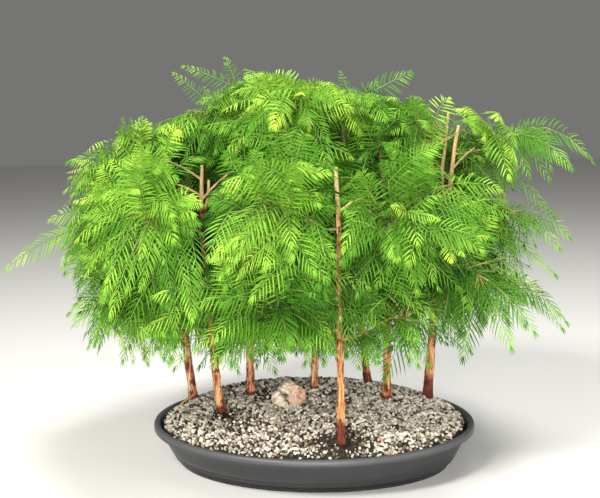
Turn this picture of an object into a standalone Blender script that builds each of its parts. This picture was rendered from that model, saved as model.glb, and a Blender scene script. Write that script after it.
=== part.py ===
# Dawn redwood forest planting: eight young trees in a shallow oval tray.
# Lengths are metres. X runs along the tray, the showing side faces -Y, Z is up.
# The origin is the middle of the flat underside of the tray.
import math
import random

import bmesh
import bpy
import numpy as np
from mathutils import Vector, noise
from mathutils.geometry import delaunay_2d_cdt

for old in list(bpy.data.objects):
    bpy.data.objects.remove(old, do_unlink=True)

# Tray, outside sizes
TRAY_HALF_LENGTH = 0.197
TRAY_HALF_WIDTH = 0.145
TRAY_HEIGHT = 0.0524
FOOT_HALF_LENGTH = 0.168
FOOT_HALF_WIDTH = 0.108
FOOT_HEIGHT = 0.0065
LIP_HEIGHT = 0.0085
LIP_WIDTH = 0.0075
WALL_THICKNESS = 0.0036
TRAY_FLOOR = 0.0042
SEGMENTS = 44

# Grit mound inside the tray
GAP = 0.0003
SOIL_EDGE_HEIGHT = 0.0445
MOUND_RISE = 0.0385
MOUND_LEAN = 0.006
SEAT_RADIUS = 0.0125
GRIT_PITCH = 0.0125
GRIT_LUMP = 0.021
GRIT_RELIEF = 0.0036

# Stone lying on the mound
STONE_PLACE = (-0.026, -0.030)
STONE_SIZE = (0.042, 0.031, 0.029)

# Foliage
SPACE_GAP = 0.0012
MASS_REACH = 0.128
FROND_LENGTH = 0.110
FROND_HALF_WIDTH = 0.0370
FROND_THICKNESS = 0.0019
NEEDLE_PAIRS = 4
FRONDS_PER_MASS = 5
SHOWING_FRONDS = 7
FRONT_SIDE = -0.09
TOP_SIDE = 0.38
SHOOT_HALF_WIDTH = 0.0225
FROND_SPACING = 0.0052
CROWN_MIDDLE = (-0.016, 0.0, 0.300)
CROWN_HALF_SIZE = (0.298, 0.230, 0.180)
CROWN_TILT = 0.03
CROWN_FLOOR = 0.140
FLOOR_SLOPE = -0.04
FLOOR_RISE = 0.45
LANE_HALF_WIDTH = 0.0085
VIEWER = (0.10, -1.07)

# Each tree: foot x and y, sideways lean and bow of the trunk, lean to the
# back, height of the cut tip, radius above the roots, and the height up to
# which its trunk shows from the front. Every limb of a tree is given by its
# heading in degrees from +X, the height where it leaves and how far the
# middle of its foliage lies from the trunk.
TREES = (
    {"name": "left", "foot": (-0.156, 0.030), "lean": 0.011, "bow": -0.015,
     "back": 0.006, "tip": 0.386, "radius": 0.0051, "shows": 0.168,
     "limbs": ((190, 0.272, 0.100), (200, 0.182, 0.070), (222, 0.340, 0.066), (116, 0.245, 0.105))},
    {"name": "front_left", "foot": (-0.106, -0.042), "lean": -0.014, "bow": -0.005,
     "back": 0.0, "tip": 0.367, "radius": 0.0050, "shows": 0.370,
     "limbs": ((209, 0.195, 0.110), (252, 0.290, 0.112), (20, 0.215, 0.050))},
    {"name": "middle_left", "foot": (-0.077, 0.004), "lean": -0.006, "bow": 0.002,
     "back": 0.006, "tip": 0.458, "radius": 0.0050, "shows": 0.180,
     "limbs": ((140, 0.405, 0.042), (111, 0.345, 0.140), (92, 0.215, 0.140), (300, 0.300, 0.070))},
    {"name": "middle", "foot": (0.001, 0.018), "lean": 0.006, "bow": 0.002,
     "back": 0.004, "tip": 0.425, "radius": 0.0045, "shows": 0.150,
     "limbs": ((245, 0.408, 0.045), (96, 0.315, 0.122), (84, 0.205, 0.130), (255, 0.225, 0.046))},
    {"name": "front", "foot": (0.042, -0.112), "lean": -0.002, "bow": 0.001,
     "back": 0.004, "tip": 0.366, "radius": 0.0045, "shows": 0.370,
     "limbs": ((206, 0.190, 0.082), (202, 0.300, 0.070), (348, 0.180, 0.082), (2, 0.295, 0.072))},
    {"name": "back", "foot": (0.066, 0.068), "lean": -0.030, "bow": -0.002,
     "back": 0.004, "tip": 0.430, "radius": 0.0044, "shows": 0.180,
     "limbs": ((66, 0.280, 0.105), (52, 0.375, 0.085), (292, 0.412, 0.042), (285, 0.240, 0.055))},
    {"name": "middle_right", "foot": (0.091, 0.000), "lean": -0.006, "bow": 0.004,
     "back": 0.002, "tip": 0.395, "radius": 0.0048, "shows": 0.185,
     "limbs": ((318, 0.225, 0.135), (350, 0.365, 0.070), (215, 0.300, 0.046))},
    {"name": "right", "foot": (0.142, 0.040), "lean": 0.038, "bow": -0.004,
     "back": 0.004, "tip": 0.406, "radius": 0.0057, "shows": 0.205,
     "limbs": ((342, 0.372, 0.064), (350, 0.280, 0.076), (335, 0.195, 0.078),
               (80, 0.215, 0.092), (70, 0.320, 0.085))},
)

# Swelling of a trunk at its foot, as a share of its radius
ROOT_FLARE = 0.22

# Second leaders: tree, height of the fork, sideways reach, height of its tip
FORKS = {"front_left": (0.308, 0.0085, 0.350), "right": (0.285, -0.0125, 0.421)}

# Single long shoots that stand out of the crown, by mass: heading in degrees,
# rise, length and droop.
SHOOTS = {
    "left_a": ((189, -0.20, 0.125, 0.30), (168, 0.40, 0.080, 0.40)),
    "left_b": ((200, 0.10, 0.070, 0.40),),
    "left_c": ((186, 0.45, 0.090, 0.35),),
    "middle_left_a": ((165, 0.95, 0.082, 0.10),),
    "back_c": ((355, 0.62, 0.078, 0.10), (120, 1.40, 0.055, 0.10)),
    "middle_right_b": ((15, 0.50, 0.085, 0.30),),
    "right_a": ((352, 0.36, 0.102, 0.75), (322, 0.10, 0.070, 0.60)),
    "right_b": ((350, 0.10, 0.070, 0.60), (318, -0.10, 0.070, 0.50)),
    "right_c": ((345, 0.00, 0.080, 0.60), (10, 0.20, 0.075, 0.80)),
    "middle_right_a": ((322, -0.45, 0.075, 0.35),),
}

# Limbs shorter than this carry their foliage straight from the trunk
SHORT_REACH = 0.0725

forest = bpy.data.collections.new("Dawn redwood forest")
bpy.context.scene.collection.children.link(forest)


def make_material(name, colour, roughness):
    material = bpy.data.materials.new(name)
    material.use_nodes = True
    shader = material.node_tree.nodes["Principled BSDF"]
    shader.inputs["Base Color"].default_value = (*colour, 1.0)
    shader.inputs["Roughness"].default_value = roughness
    material.diffuse_color = (*colour, 1.0)
    return material


def make_object(name, points, faces, material, collection=forest):
    mesh = bpy.data.meshes.new(name)
    mesh.from_pydata([tuple(float(c) for c in p) for p in points], [], faces)
    mesh.update()
    body = bmesh.new()
    body.from_mesh(mesh)
    bmesh.ops.recalc_face_normals(body, faces=body.faces)
    body.to_mesh(mesh)
    body.free()
    if material:
        mesh.materials.append(material)
    made = bpy.data.objects.new(name, mesh)
    collection.objects.link(made)
    return made


def mix(low, high, share):
    return low + (high - low) * share


def unit(vector):
    vector = np.asarray(vector, float)
    return vector / max(np.linalg.norm(vector), 1e-9)


# Tray: rings from the middle of the underside, up the flared outer wall,
# over the rolled lip and down the inner wall to the floor.
def tray_axes(height, inset):
    share = min(1.0, height / TRAY_HEIGHT)
    half_length = mix(FOOT_HALF_LENGTH, TRAY_HALF_LENGTH, share) - inset
    half_width = mix(FOOT_HALF_WIDTH, TRAY_HALF_WIDTH, share) - inset
    return half_length, half_width


def ellipse(half_length, half_width, height):
    return [(half_length * math.cos(2 * math.pi * i / SEGMENTS),
             half_width * math.sin(2 * math.pi * i / SEGMENTS), height) for i in range(SEGMENTS)]


def ring_solid(rings):
    """Closed skin over rings of SEGMENTS points, the first and last capped flat."""
    points = [p for ring in rings for p in ring]
    faces = []
    for k in range(len(rings) - 1):
        for i in range(SEGMENTS):
            j = (i + 1) % SEGMENTS
            a = k * SEGMENTS
            b = a + SEGMENTS
            faces.append((a + i, a + j, b + j, b + i))
    faces.append(tuple(range(SEGMENTS - 1, -1, -1)))
    faces.append(tuple(range((len(rings) - 1) * SEGMENTS, len(rings) * SEGMENTS)))
    return points, faces


lip_foot = TRAY_HEIGHT - LIP_HEIGHT
inner_top = TRAY_HEIGHT - 0.0012
inner_floor_axes = tray_axes(0.010, WALL_THICKNESS + 0.0040)
inner_top_axes = tray_axes(TRAY_HEIGHT, LIP_WIDTH)
tray_rings = [
    ellipse(*tray_axes(0.0, 0.0025), 0.0),
    ellipse(*tray_axes(0.0, 0.0015), 0.0010),
    ellipse(*tray_axes(0.0, 0.0012), FOOT_HEIGHT - 0.0012),
    ellipse(*tray_axes(0.0, -0.0010), FOOT_HEIGHT),
    ellipse(*tray_axes(0.024, 0.0010), 0.024),
    ellipse(*tray_axes(lip_foot, 0.0022), lip_foot),
    ellipse(*tray_axes(TRAY_HEIGHT, 0.0012), lip_foot + 0.0006),
    ellipse(*tray_axes(TRAY_HEIGHT, 0.0), lip_foot + 0.0030),
    ellipse(*tray_axes(TRAY_HEIGHT, 0.0010), TRAY_HEIGHT - 0.0016),
    ellipse(*tray_axes(TRAY_HEIGHT, 0.0032), TRAY_HEIGHT),
    ellipse(*inner_top_axes, inner_top),
    ellipse(*inner_floor_axes, TRAY_FLOOR),
]
tray_points, tray_faces = ring_solid(tray_rings)
tray = make_object("tray", tray_points, tray_faces, make_material("tray plastic", (0.035, 0.037, 0.040), 0.45))


# Mound of grit, lumpy with its coarsest grains. Its skin is level under every
# trunk and under the stone, so that each of them rests on a flat seat.
def inner_axes(height):
    share = (height - TRAY_FLOOR) / (inner_top - TRAY_FLOOR)
    return (mix(inner_floor_axes[0], inner_top_axes[0], share) - 0.0004,
            mix(inner_floor_axes[1], inner_top_axes[1], share) - 0.0004)


edge_axes = inner_axes(SOIL_EDGE_HEIGHT)


def mound_height(x, y):
    out = (x / edge_axes[0]) ** 2 + (y / edge_axes[1]) ** 2
    rise = MOUND_RISE + MOUND_LEAN * y / edge_axes[1]
    return SOIL_EDGE_HEIGHT + rise * math.sqrt(max(0.0, 1.0 - out))


def grit_relief(x, y):
    """Height of the lumps that the coarsest grains raise on the mound."""
    return GRIT_RELIEF * noise.noise(Vector((x / GRIT_LUMP, y / GRIT_LUMP, 0.5)))


seats = []
for tree in TREES:
    foot_x, foot_y = tree["foot"]
    seats.append((foot_x, foot_y, SEAT_RADIUS, mound_height(foot_x, foot_y)))
stone_top_seat = mound_height(*STONE_PLACE) - 0.0015
seats.append((STONE_PLACE[0], STONE_PLACE[1], 0.0265, stone_top_seat))

dice = random.Random(11)
flat_points = [Vector((p[0], p[1])) for p in ellipse(*edge_axes, 0.0)]
heights = [SOIL_EDGE_HEIGHT] * SEGMENTS
edges = [(i, (i + 1) % SEGMENTS) for i in range(SEGMENTS)]
for seat_x, seat_y, seat_radius, seat_height in seats:
    first = len(flat_points)
    count = 12
    for i in range(count):
        turn = 2 * math.pi * (i + 0.5) / count
        flat_points.append(Vector((seat_x + seat_radius * math.cos(turn), seat_y + seat_radius * math.sin(turn))))
        heights.append(seat_height)
        edges.append((first + i, first + (i + 1) % count))
steps_x = int(edge_axes[0] / GRIT_PITCH) + 1
steps_y = int(edge_axes[1] / GRIT_PITCH) + 1
for i in range(-steps_x, steps_x + 1):
    for j in range(-steps_y, steps_y + 1):
        x = (i + 0.5 * (j % 2) + dice.uniform(-0.22, 0.22)) * GRIT_PITCH
        y = (j + dice.uniform(-0.22, 0.22)) * GRIT_PITCH
        if (x / (edge_axes[0] - 0.007)) ** 2 + (y / (edge_axes[1] - 0.007)) ** 2 > 1.0:
            continue
        if any(math.hypot(x - s[0], y - s[1]) < s[2] + 0.007 for s in seats):
            continue
        flat_points.append(Vector((x, y)))
        heights.append(mound_height(x, y) + grit_relief(x, y))
top = delaunay_2d_cdt(flat_points, edges, [], 0, 1e-7)
soil_points = []
for k, place in enumerate(top[0]):
    source = top[3][k][0] if top[3][k] else 0
    soil_points.append((place.x, place.y, heights[source]))
soil_faces = [tuple(face) for face in top[2]]
rim_index = {}
for k, source in enumerate(top[3]):
    for s in source:
        if s < SEGMENTS:
            rim_index[s] = k
soil_floor = TRAY_FLOOR + GAP
base_start = len(soil_points)
soil_points += ellipse(*inner_axes(soil_floor), soil_floor)
for i in range(SEGMENTS):
    j = (i + 1) % SEGMENTS
    soil_faces.append((rim_index[i], base_start + i, base_start + j, rim_index[j]))
soil_faces.append(tuple(range(base_start + SEGMENTS - 1, base_start - 1, -1)))
grit = make_object("grit_mound", soil_points, soil_faces, make_material("grit", (0.42, 0.40, 0.37), 0.9))

# Stone: a rough block, the hull of points spread over a squared-off ball and
# cut level below.
stone_points = []
dice = random.Random(5)
for i in range(60):
    height = 1.0 - 2.0 * (i + 0.5) / 60
    turn = i * math.pi * (3.0 - math.sqrt(5.0))
    spread = math.sqrt(1.0 - height * height)
    spot = np.array([spread * math.cos(turn), spread * math.sin(turn), height])
    spot = np.sign(spot) * np.abs(spot) ** 0.72
    spot = spot * dice.uniform(0.74, 1.0)
    spot[2] = max(spot[2], -0.42)
    stone_points.append(spot)
stone_points = np.array(stone_points)
stone_points[:, 2] -= stone_points[:, 2].min()
stone_points *= np.array(STONE_SIZE) / (stone_points.max(0) - stone_points.min(0))
stone_points[:, 0] += STONE_PLACE[0] - stone_points[:, 0].mean()
stone_points[:, 1] += STONE_PLACE[1] - stone_points[:, 1].mean()
stone_points[:, 2] += stone_top_seat + GAP
shell = bmesh.new()
shell_points = [shell.verts.new(tuple(p)) for p in stone_points]
hull = bmesh.ops.convex_hull(shell, input=shell_points)
loose = [v for v in shell.verts if not v.link_faces]
bmesh.ops.delete(shell, geom=loose, context="VERTS")
bmesh.ops.recalc_face_normals(shell, faces=shell.faces)
stone_mesh = bpy.data.meshes.new("stone")
shell.to_mesh(stone_mesh)
shell.free()
stone_mesh.materials.append(make_material("stone", (0.62, 0.53, 0.45), 0.85))
forest.objects.link(bpy.data.objects.new("stone", stone_mesh))


# Limbs: a tube of rings along a path.
def tube(path, radii, sides, first_axis=None, lobes=0.0, turn=0.0):
    """Closed tube; first_axis sets the way the first cap faces."""
    path = np.asarray(path, float)
    points = []
    faces = []
    side = None
    for k in range(len(path)):
        ahead = path[min(k + 1, len(path) - 1)] - path[max(k - 1, 0)]
        if k == 0 and first_axis is not None:
            ahead = first_axis
        ahead = unit(ahead)
        if side is None:
            side = unit(np.cross(ahead, (0.31, 0.87, 0.38)))
        side = unit(side - ahead * np.dot(side, ahead))
        other = np.cross(ahead, side)
        for i in range(sides):
            angle = 2 * math.pi * i / sides + turn
            swell = 1.0 + (lobes * math.cos(4 * angle) if k < 2 else 0.0)
            points.append(path[k] + radii[k] * swell * (math.cos(angle) * side + math.sin(angle) * other))
    for k in range(len(path) - 1):
        for i in range(sides):
            j = (i + 1) % sides
            a = k * sides
            b = a + sides
            faces.append((a + i, a + j, b + j, b + i))
    faces.append(tuple(range(sides - 1, -1, -1)))
    faces.append(tuple(range((len(path) - 1) * sides, len(path) * sides)))
    return points, faces


def trunk_axis(tree, height):
    """Middle of the trunk at a height."""
    foot_x, foot_y = tree["foot"]
    start = tree["seat"]
    share = (height - start) / (tree["tip"] - start)
    sway = 0.0016 * math.sin(9.0 * share + 20 * foot_x)
    x = foot_x + tree["lean"] * share + tree["bow"] * math.sin(math.pi * share) + sway * share
    y = foot_y + tree["back"] * share
    return np.array([x, y, height])


def trunk_radius(tree, height):
    share = (height - tree["seat"]) / (tree["tip"] - tree["seat"])
    flare = ROOT_FLARE * math.exp(-(height - tree["seat"]) / 0.009)
    return tree["radius"] * (mix(1.0, 0.46, share) + flare)


def fork_path(tree):
    start, sideways, end = FORKS[tree["name"]]
    path = []
    for k in range(5):
        share = k / 4
        height = mix(start, end, share)
        middle = trunk_axis(tree, min(height, tree["tip"]))
        middle[0] += sideways * math.sin(0.5 * math.pi * min(1.0, 1.6 * share))
        middle[1] -= 0.002 * share
        middle[2] = height
        path.append(middle)
    return path


bark = make_material("bark", (0.36, 0.17, 0.085), 0.85)
limb_lines = []


def remember(path, radii):
    for k in range(len(path) - 1):
        limb_lines.append((np.array(path[k]), np.array(path[k + 1]), max(radii[k], radii[k + 1])))


def join_all(body, group, solver="MANIFOLD"):
    """Unite a body with every object of a collection, then drop the collection."""
    joint = body.modifiers.new("join", "BOOLEAN")
    joint.operation = "UNION"
    joint.operand_type = "COLLECTION"
    joint.collection = group
    joint.solver = solver
    bpy.context.view_layer.objects.active = body
    bpy.ops.object.modifier_apply(modifier=joint.name)
    for member in list(group.objects):
        bpy.data.objects.remove(member, do_unlink=True)
    bpy.data.collections.remove(group)


def new_group(name):
    group = bpy.data.collections.new(name)
    bpy.context.scene.collection.children.link(group)
    return group


for tree in TREES:
    tree["seat"] = mound_height(*tree["foot"]) + GAP
    levels = [0.0, 0.004, 0.010, 0.020]
    rest = tree["tip"] - tree["seat"] - 0.020
    levels += [0.020 + rest * (k + 1) / 6 for k in range(6)]
    path = [trunk_axis(tree, tree["seat"] + level) for level in levels]
    radii = [trunk_radius(tree, tree["seat"] + level) for level in levels]
    points, faces = tube(path, radii, 8, first_axis=(0, 0, 1), lobes=0.13)
    trunk = make_object("trunk_" + tree["name"], points, faces, bark)
    remember(path, radii)
    if tree["name"] in FORKS:
        second = fork_path(tree)
        radii = [trunk_radius(tree, p[2]) * mix(0.78, 0.60, k / 4) for k, p in enumerate(second)]
        points, faces = tube(second, radii, 7)
        group = new_group("second leader")
        make_object("leader", points, faces, None, group)
        remember(second, radii)
        join_all(trunk, group)


# Boughs leave the trunk level, then rise to their tips.
def clearance(samples, lines):
    """Smallest distance from sample points to the skins of limbs."""
    samples = np.asarray(samples, float)
    best = 1.0
    for start, end, radius in lines:
        along = end - start
        share = np.clip(((samples - start) @ along) / max(along @ along, 1e-12), 0.0, 1.0)
        gap = np.linalg.norm(samples - (start + share[:, None] * along), axis=1) - radius
        best = min(best, float(gap.min()))
    return best


def along(path, count):
    path = np.asarray(path, float)
    spots = []
    for k in range(len(path) - 1):
        for i in range(count):
            spots.append(mix(path[k], path[k + 1], i / count))
    spots.append(path[-1])
    return np.array(spots)


masses = []
for number, tree in enumerate(TREES):
    for order, (heading, height, reach) in enumerate(tree["limbs"]):
        middle = trunk_axis(tree, height)
        radius = trunk_radius(tree, height - 0.003)
        name = "%s_%s" % (tree["name"], "abcde"[order])
        short = reach < SHORT_REACH
        own = dict(name=name, tree=tree, centre=None, bough=None)
        for trial in range(13):
            swing = math.radians(heading + 6.0 * ((trial + 1) // 2) * (-1) ** trial)
            away = np.array([math.cos(swing), math.sin(swing), 0.0])
            root = middle + away * (radius + GAP + 0.0002)
            centre = middle + away * reach + np.array([0.0, 0.0, 0.022])
            if short:
                own.update(centre=centre, start=root, facing=away)
                break
            length = reach * 0.56
            path = [root + away * length * s + np.array([0.0, 0.0, 0.020 * s * s]) for s in (0.0, 0.45, 1.0)]
            radii = [mix(0.0023, 0.0015, s) for s in (0.0, 0.45, 1.0)]
            if clearance(along(path, 6)[3:], limb_lines) > 0.0035:
                facing = unit(path[-1] - path[-2])
                own.update(centre=centre, bough=(path, radii), facing=facing, start=path[-1] + facing * GAP)
                break
        if own["centre"] is None:
            raise RuntimeError("no room for bough " + name)
        if own["bough"]:
            path, radii = own["bough"]
            points, faces = tube(path, radii, 5, first_axis=away)
            make_object("bough_" + name, points, faces, bark)
            remember(path, radii)
        masses.append(own)

centres = np.array([own["centre"] for own in masses])


def crown_share(samples):
    """Over 1 outside the crown: rounded above, nearly square below."""
    samples = np.asarray(samples, float)
    away = samples - np.array(CROWN_MIDDLE)
    away[:, 2] -= CROWN_TILT * samples[:, 0]
    part = np.abs(away) / np.array(CROWN_HALF_SIZE)
    power = np.where(away[:, 2] > 0.0, 1.9, 3.2)
    return part[:, 0] ** 2.8 + part[:, 1] ** 2.6 + part[:, 2] ** power


def crown_floor(samples):
    """Lowest height for foliage; the floor climbs to the right, where the crown is open."""
    return CROWN_FLOOR + FLOOR_SLOPE * samples[:, 1] + FLOOR_RISE * np.maximum(0.0, samples[:, 0] - 0.13)


# Foliage. Every mass keeps to the space nearer to its own middle than to any
# other, so neighbours cannot touch; lanes before the trunks stay open.
def inside_space(index, samples, shoot=False):
    samples = np.asarray(samples, float)
    own = centres[index]
    if not shoot:
        if (np.linalg.norm(samples - own, axis=1) > MASS_REACH).any():
            return False
        if (samples[:, 2] < crown_floor(samples)).any():
            return False
        if crown_share(samples).max() > 1.0:
            return False
    for other in range(len(centres)):
        if other == index:
            continue
        apart = centres[other] - own
        distance = np.linalg.norm(apart)
        depth = (samples - own) @ (apart / distance)
        if (depth > 0.5 * distance - SPACE_GAP).any():
            return False
    return True


def lane_open(samples):
    """True when no sample hides a trunk from the front where the trunk shows."""
    samples = np.asarray(samples, float)
    away = samples[:, :2] - np.array(VIEWER)
    for tree in TREES:
        line = trunk_axis(tree, 0.5 * (tree["seat"] + tree["shows"]))[:2] - np.array(VIEWER)
        length = np.linalg.norm(line)
        line = line / length
        depth = away @ line
        sideways = np.abs(away[:, 0] * line[1] - away[:, 1] * line[0])
        hides = (depth < length) & (sideways < LANE_HALF_WIDTH) & (samples[:, 2] < tree["shows"])
        if hides.any():
            return False
    return True


def frond(spot, root, direction, face_up, length, half_width, droop):
    """Toothed blade on its twig: a rachis ridge with needles as teeth on both sides."""
    direction = unit(direction)
    across = unit(np.cross(direction, face_up))
    normal = np.cross(across, direction)
    down = np.array([0.0, 0.0, -1.0])
    count = NEEDLE_PAIRS
    points = []
    faces = []
    for k in range(count + 1):
        share = k / (count + 0.9)
        middle = root + direction * length * share + down * droop * length * share * share
        width = half_width * (0.50 + 1.5 * share - 1.7 * share * share) * (0.26 if k else 0.17)
        thick = FROND_THICKNESS * (1.0 - 0.35 * share)
        points.append(middle + across * width)
        points.append(middle - across * width)
        points.append(middle + normal * thick)
    tip_index = len(points)
    points.append(root + direction * length + down * droop * length)
    for k in range(count):
        share = (k + 0.5) / (count + 0.9)
        ahead = (k + 1.15) / (count + 0.9)
        middle = root + direction * length * ahead + down * droop * length * ahead * ahead
        width = half_width * (0.50 + 2.6 * share - 2.6 * share * share)
        left = len(points)
        points.append(middle + across * width - normal * 0.10 * width)
        points.append(middle - across * width - normal * 0.10 * width)
        a = 3 * k
        b = a + 3
        faces += [(a + 2, left, a), (a + 2, b + 2, left), (left, b + 2, b)]
        faces += [(a + 1, left + 1, a + 2), (a + 2, left + 1, b + 2), (left + 1, b + 1, b + 2)]
        faces += [(a, left, b), (a + 1, b + 1, left + 1), (a, b, b + 1), (a, b + 1, a + 1)]
    last = 3 * count
    faces += [(last, last + 2, tip_index), (last + 2, last + 1, tip_index), (last + 1, last, tip_index)]
    twig = len(points)
    points += [spot + across * 0.0011, spot - across * 0.0011, spot + normal * 0.0017]
    for i, j in ((0, 1), (1, 2), (2, 0)):
        faces += [(i, j, twig + j), (i, twig + j, twig + i)]
    faces.append((twig, twig + 1, twig + 2))
    return points, faces


def apart(samples, filled):
    """Smallest distance between two clouds of sample points."""
    if not len(filled):
        return 1.0
    return float(np.sqrt(((samples[:, None, :] - filled[None, :, :]) ** 2).sum(2)).min())


def keep_main_shell(body):
    """Drop scraps and fill sealed hollows: only the largest shell stays."""
    work = bmesh.new()
    work.from_mesh(body.data)
    unseen = set(work.faces)
    shells = []
    while unseen:
        shell = [unseen.pop()]
        for face in shell:
            for edge in face.edges:
                for near in edge.link_faces:
                    if near in unseen:
                        unseen.discard(near)
                        shell.append(near)
        shells.append(shell)
    shells.sort(key=len)
    for shell in shells[:-1]:
        bmesh.ops.delete(work, geom=shell, context="FACES")
    work.to_mesh(body.data)
    work.free()
    return len(shells) - 1


def frond_samples(points):
    points = np.array(points)
    count = NEEDLE_PAIRS
    extra = []
    for k in range(count):
        for side in (0, 1):
            tip = points[3 * count + 4 + 2 * k + side]
            root = points[3 * k + side]
            extra += [mix(root, tip, 0.35), mix(root, tip, 0.7)]
    for k in range(count):
        extra.append(0.5 * (points[3 * k + 2] + points[3 * k + 5]))
    return np.vstack([points, extra])


green = make_material("foliage", (0.115, 0.33, 0.045), 0.6)


def outer_face(place):
    """Way that the flat of a frond faces: up and out of the crown."""
    out = unit((place[:2] - np.array(CROWN_MIDDLE[:2])) / np.array(CROWN_HALF_SIZE[:2]))
    return unit(np.array([0.6 * out[0], out[1] - 0.35, 0.70]))


def add_frond(index, own, slot, way, length, wide, droop, tilt, shoot=False):
    """Puts one frond on the stem where it keeps to its space, clear of limbs and other fronds."""
    spot = own["stem_spots"][int((len(own["stem_spots"]) - 1) * slot)]
    twig_length = 0.24 * length
    heading = unit(way)
    root = spot + heading * twig_length
    face_up = outer_face(root + heading * 0.5 * length)
    side = unit(np.cross(heading, face_up))
    face_up = unit(np.cross(side, heading) * math.cos(tilt) + side * math.sin(tilt))
    points, faces = frond(spot, root, heading, face_up, length, wide, droop)
    samples = frond_samples(points)
    twig_samples = along([spot, root], 8)
    if not inside_space(index, np.vstack([samples, twig_samples]), shoot):
        return False
    if not lane_open(samples):
        return False
    if apart(samples[OUTER], own["filled"]) < FROND_SPACING:
        return False
    if clearance(samples, limb_lines) < 0.0042:
        return False
    if clearance(twig_samples, limb_lines) < 0.0030:
        return False
    make_object("frond", points, faces, None, own["group"])
    own["filled"] = np.vstack([own["filled"], samples[OUTER]])
    return True


OUTER = [i for i in range(3 * NEEDLE_PAIRS + 4) if i >= 3]
OUTER += list(range(3 * NEEDLE_PAIRS + 4, 5 * NEEDLE_PAIRS + 4))
made_fronds = 0
for index, own in enumerate(masses):
    dice = random.Random(100 + 7 * index)
    name = "foliage_" + own["name"]
    centre = own["centre"]
    start = own["start"]
    facing = own["facing"]
    middle = start + facing * 0.5 * np.linalg.norm(centre - start)
    stem_path = [start, start + facing * 0.006, mix(middle, centre, 0.35), centre]
    stem_radii = [0.0014, 0.0014, 0.0013, 0.0010]
    points, faces = tube(stem_path, stem_radii, 4, first_axis=facing)
    stem = make_object(name, points, faces, green)
    stem_way = unit(centre - start)
    own["stem_spots"] = along(stem_path[1:], 20)
    own["group"] = new_group(name + " twigs")
    own["filled"] = np.zeros((0, 3))
    showing = centre[1] < FRONT_SIDE or centre[2] > TOP_SIDE
    wanted_fronds = SHOWING_FRONDS if showing else FRONDS_PER_MASS
    free_slots = [0.30 + 0.69 * k / wanted_fronds for k in range(wanted_fronds + 1)]
    taken = []
    for heading, rise, length, droop in SHOOTS.get(own["name"], ()):
        turn = math.radians(heading)
        way = unit(np.array([math.cos(turn), math.sin(turn), rise]))
        for slot in reversed(free_slots):
            if add_frond(index, own, slot, way, length * 0.8, SHOOT_HALF_WIDTH, droop, 0.0, True):
                taken.append(way)
                free_slots.remove(slot)
                break
        else:
            print("no room for a shoot of", own["name"])
    outward = unit(np.array([centre[0] * 0.8, centre[1] * 0.7, centre[2] - 0.33])) * 0.8
    candidates = []
    for i in range(90):
        level = 1.0 - 2.0 * (i + 0.5) / 90
        turn = i * math.pi * (3.0 - math.sqrt(5.0)) + 0.7 * index
        spread = math.sqrt(1.0 - level * level)
        rise = level * 0.75 + (centre[2] - 0.345) * 3.2
        way = np.array([spread * math.cos(turn), spread * math.sin(turn), rise])
        candidates.append((-(way @ outward) + dice.uniform(0.0, 0.9), unit(way)))
    candidates.sort(key=lambda c: c[0])
    for _, way in candidates:
        if len(taken) >= wanted_fronds:
            break
        if any(way @ old > 0.78 for old in taken):
            continue
        wanted = 0.70 + 0.30 * float(way @ stem_way)
        slot = min(free_slots, key=lambda share: abs(share - wanted))
        done = False
        for size in (1.10, 0.94, 0.78, 0.64, 0.52):
            for roll in (0.0, 0.7, -0.7):
                length = FROND_LENGTH * size * dice.uniform(0.94, 1.06)
                wide = FROND_HALF_WIDTH * mix(0.8, 1.0, size)
                tilt = roll + dice.uniform(-0.35, 0.35)
                droop = 0.16 + 0.16 * dice.random()
                rising = way + np.array([0.0, 0.0, 0.16])
                done = add_frond(index, own, slot, rising, length, wide, droop, tilt)
                if done:
                    break
            if done:
                taken.append(way)
                free_slots.remove(slot)
                break
    made_fronds += len(taken)
    join_all(stem, own["group"])
    keep_main_shell(stem)

sides = sum(len(face.vertices) - 2 for made in forest.objects for face in made.data.polygons)
print("solids", len(forest.objects), "fronds", made_fronds, "triangles", sides)
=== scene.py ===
import math
import random

import bmesh
import bpy
import numpy as np
from mathutils import Matrix, Vector, noise


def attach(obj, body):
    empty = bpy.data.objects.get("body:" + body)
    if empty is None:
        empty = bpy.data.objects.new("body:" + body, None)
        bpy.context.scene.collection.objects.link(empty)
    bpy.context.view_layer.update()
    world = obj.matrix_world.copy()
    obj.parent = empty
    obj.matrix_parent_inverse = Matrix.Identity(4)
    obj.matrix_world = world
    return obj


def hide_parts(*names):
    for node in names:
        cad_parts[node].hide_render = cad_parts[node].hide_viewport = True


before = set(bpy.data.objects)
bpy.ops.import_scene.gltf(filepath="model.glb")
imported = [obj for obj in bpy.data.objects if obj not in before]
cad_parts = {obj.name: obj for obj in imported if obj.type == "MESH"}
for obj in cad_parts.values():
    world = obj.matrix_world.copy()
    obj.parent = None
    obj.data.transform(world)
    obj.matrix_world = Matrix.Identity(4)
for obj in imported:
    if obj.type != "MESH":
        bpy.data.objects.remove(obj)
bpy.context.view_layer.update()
CAD_NODES = sorted(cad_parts)

# Tray
# A flared oval training tray of thin charcoal plastic with a rolled lip and a
# low foot band, moulded in one piece. Its face is satin, and its lip is painted lighter grey towards the top as a
# painted highlight.
TRAY_HALF_LENGTH = 0.197
TRAY_HALF_WIDTH = 0.145
TRAY_HEIGHT = 0.0524
FOOT_HALF_LENGTH = 0.168
FOOT_HALF_WIDTH = 0.108
FOOT_HEIGHT = 0.0065
LIP_HEIGHT = 0.0085
LIP_WIDTH = 0.0075
WALL_THICKNESS = 0.0036
TRAY_FLOOR = 0.0042
SIDES = 160


def mix(low, high, share):
    return low + (high - low) * share


def unit(vector):
    vector = np.asarray(vector, float)
    return vector / max(np.linalg.norm(vector), 1e-9)


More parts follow.
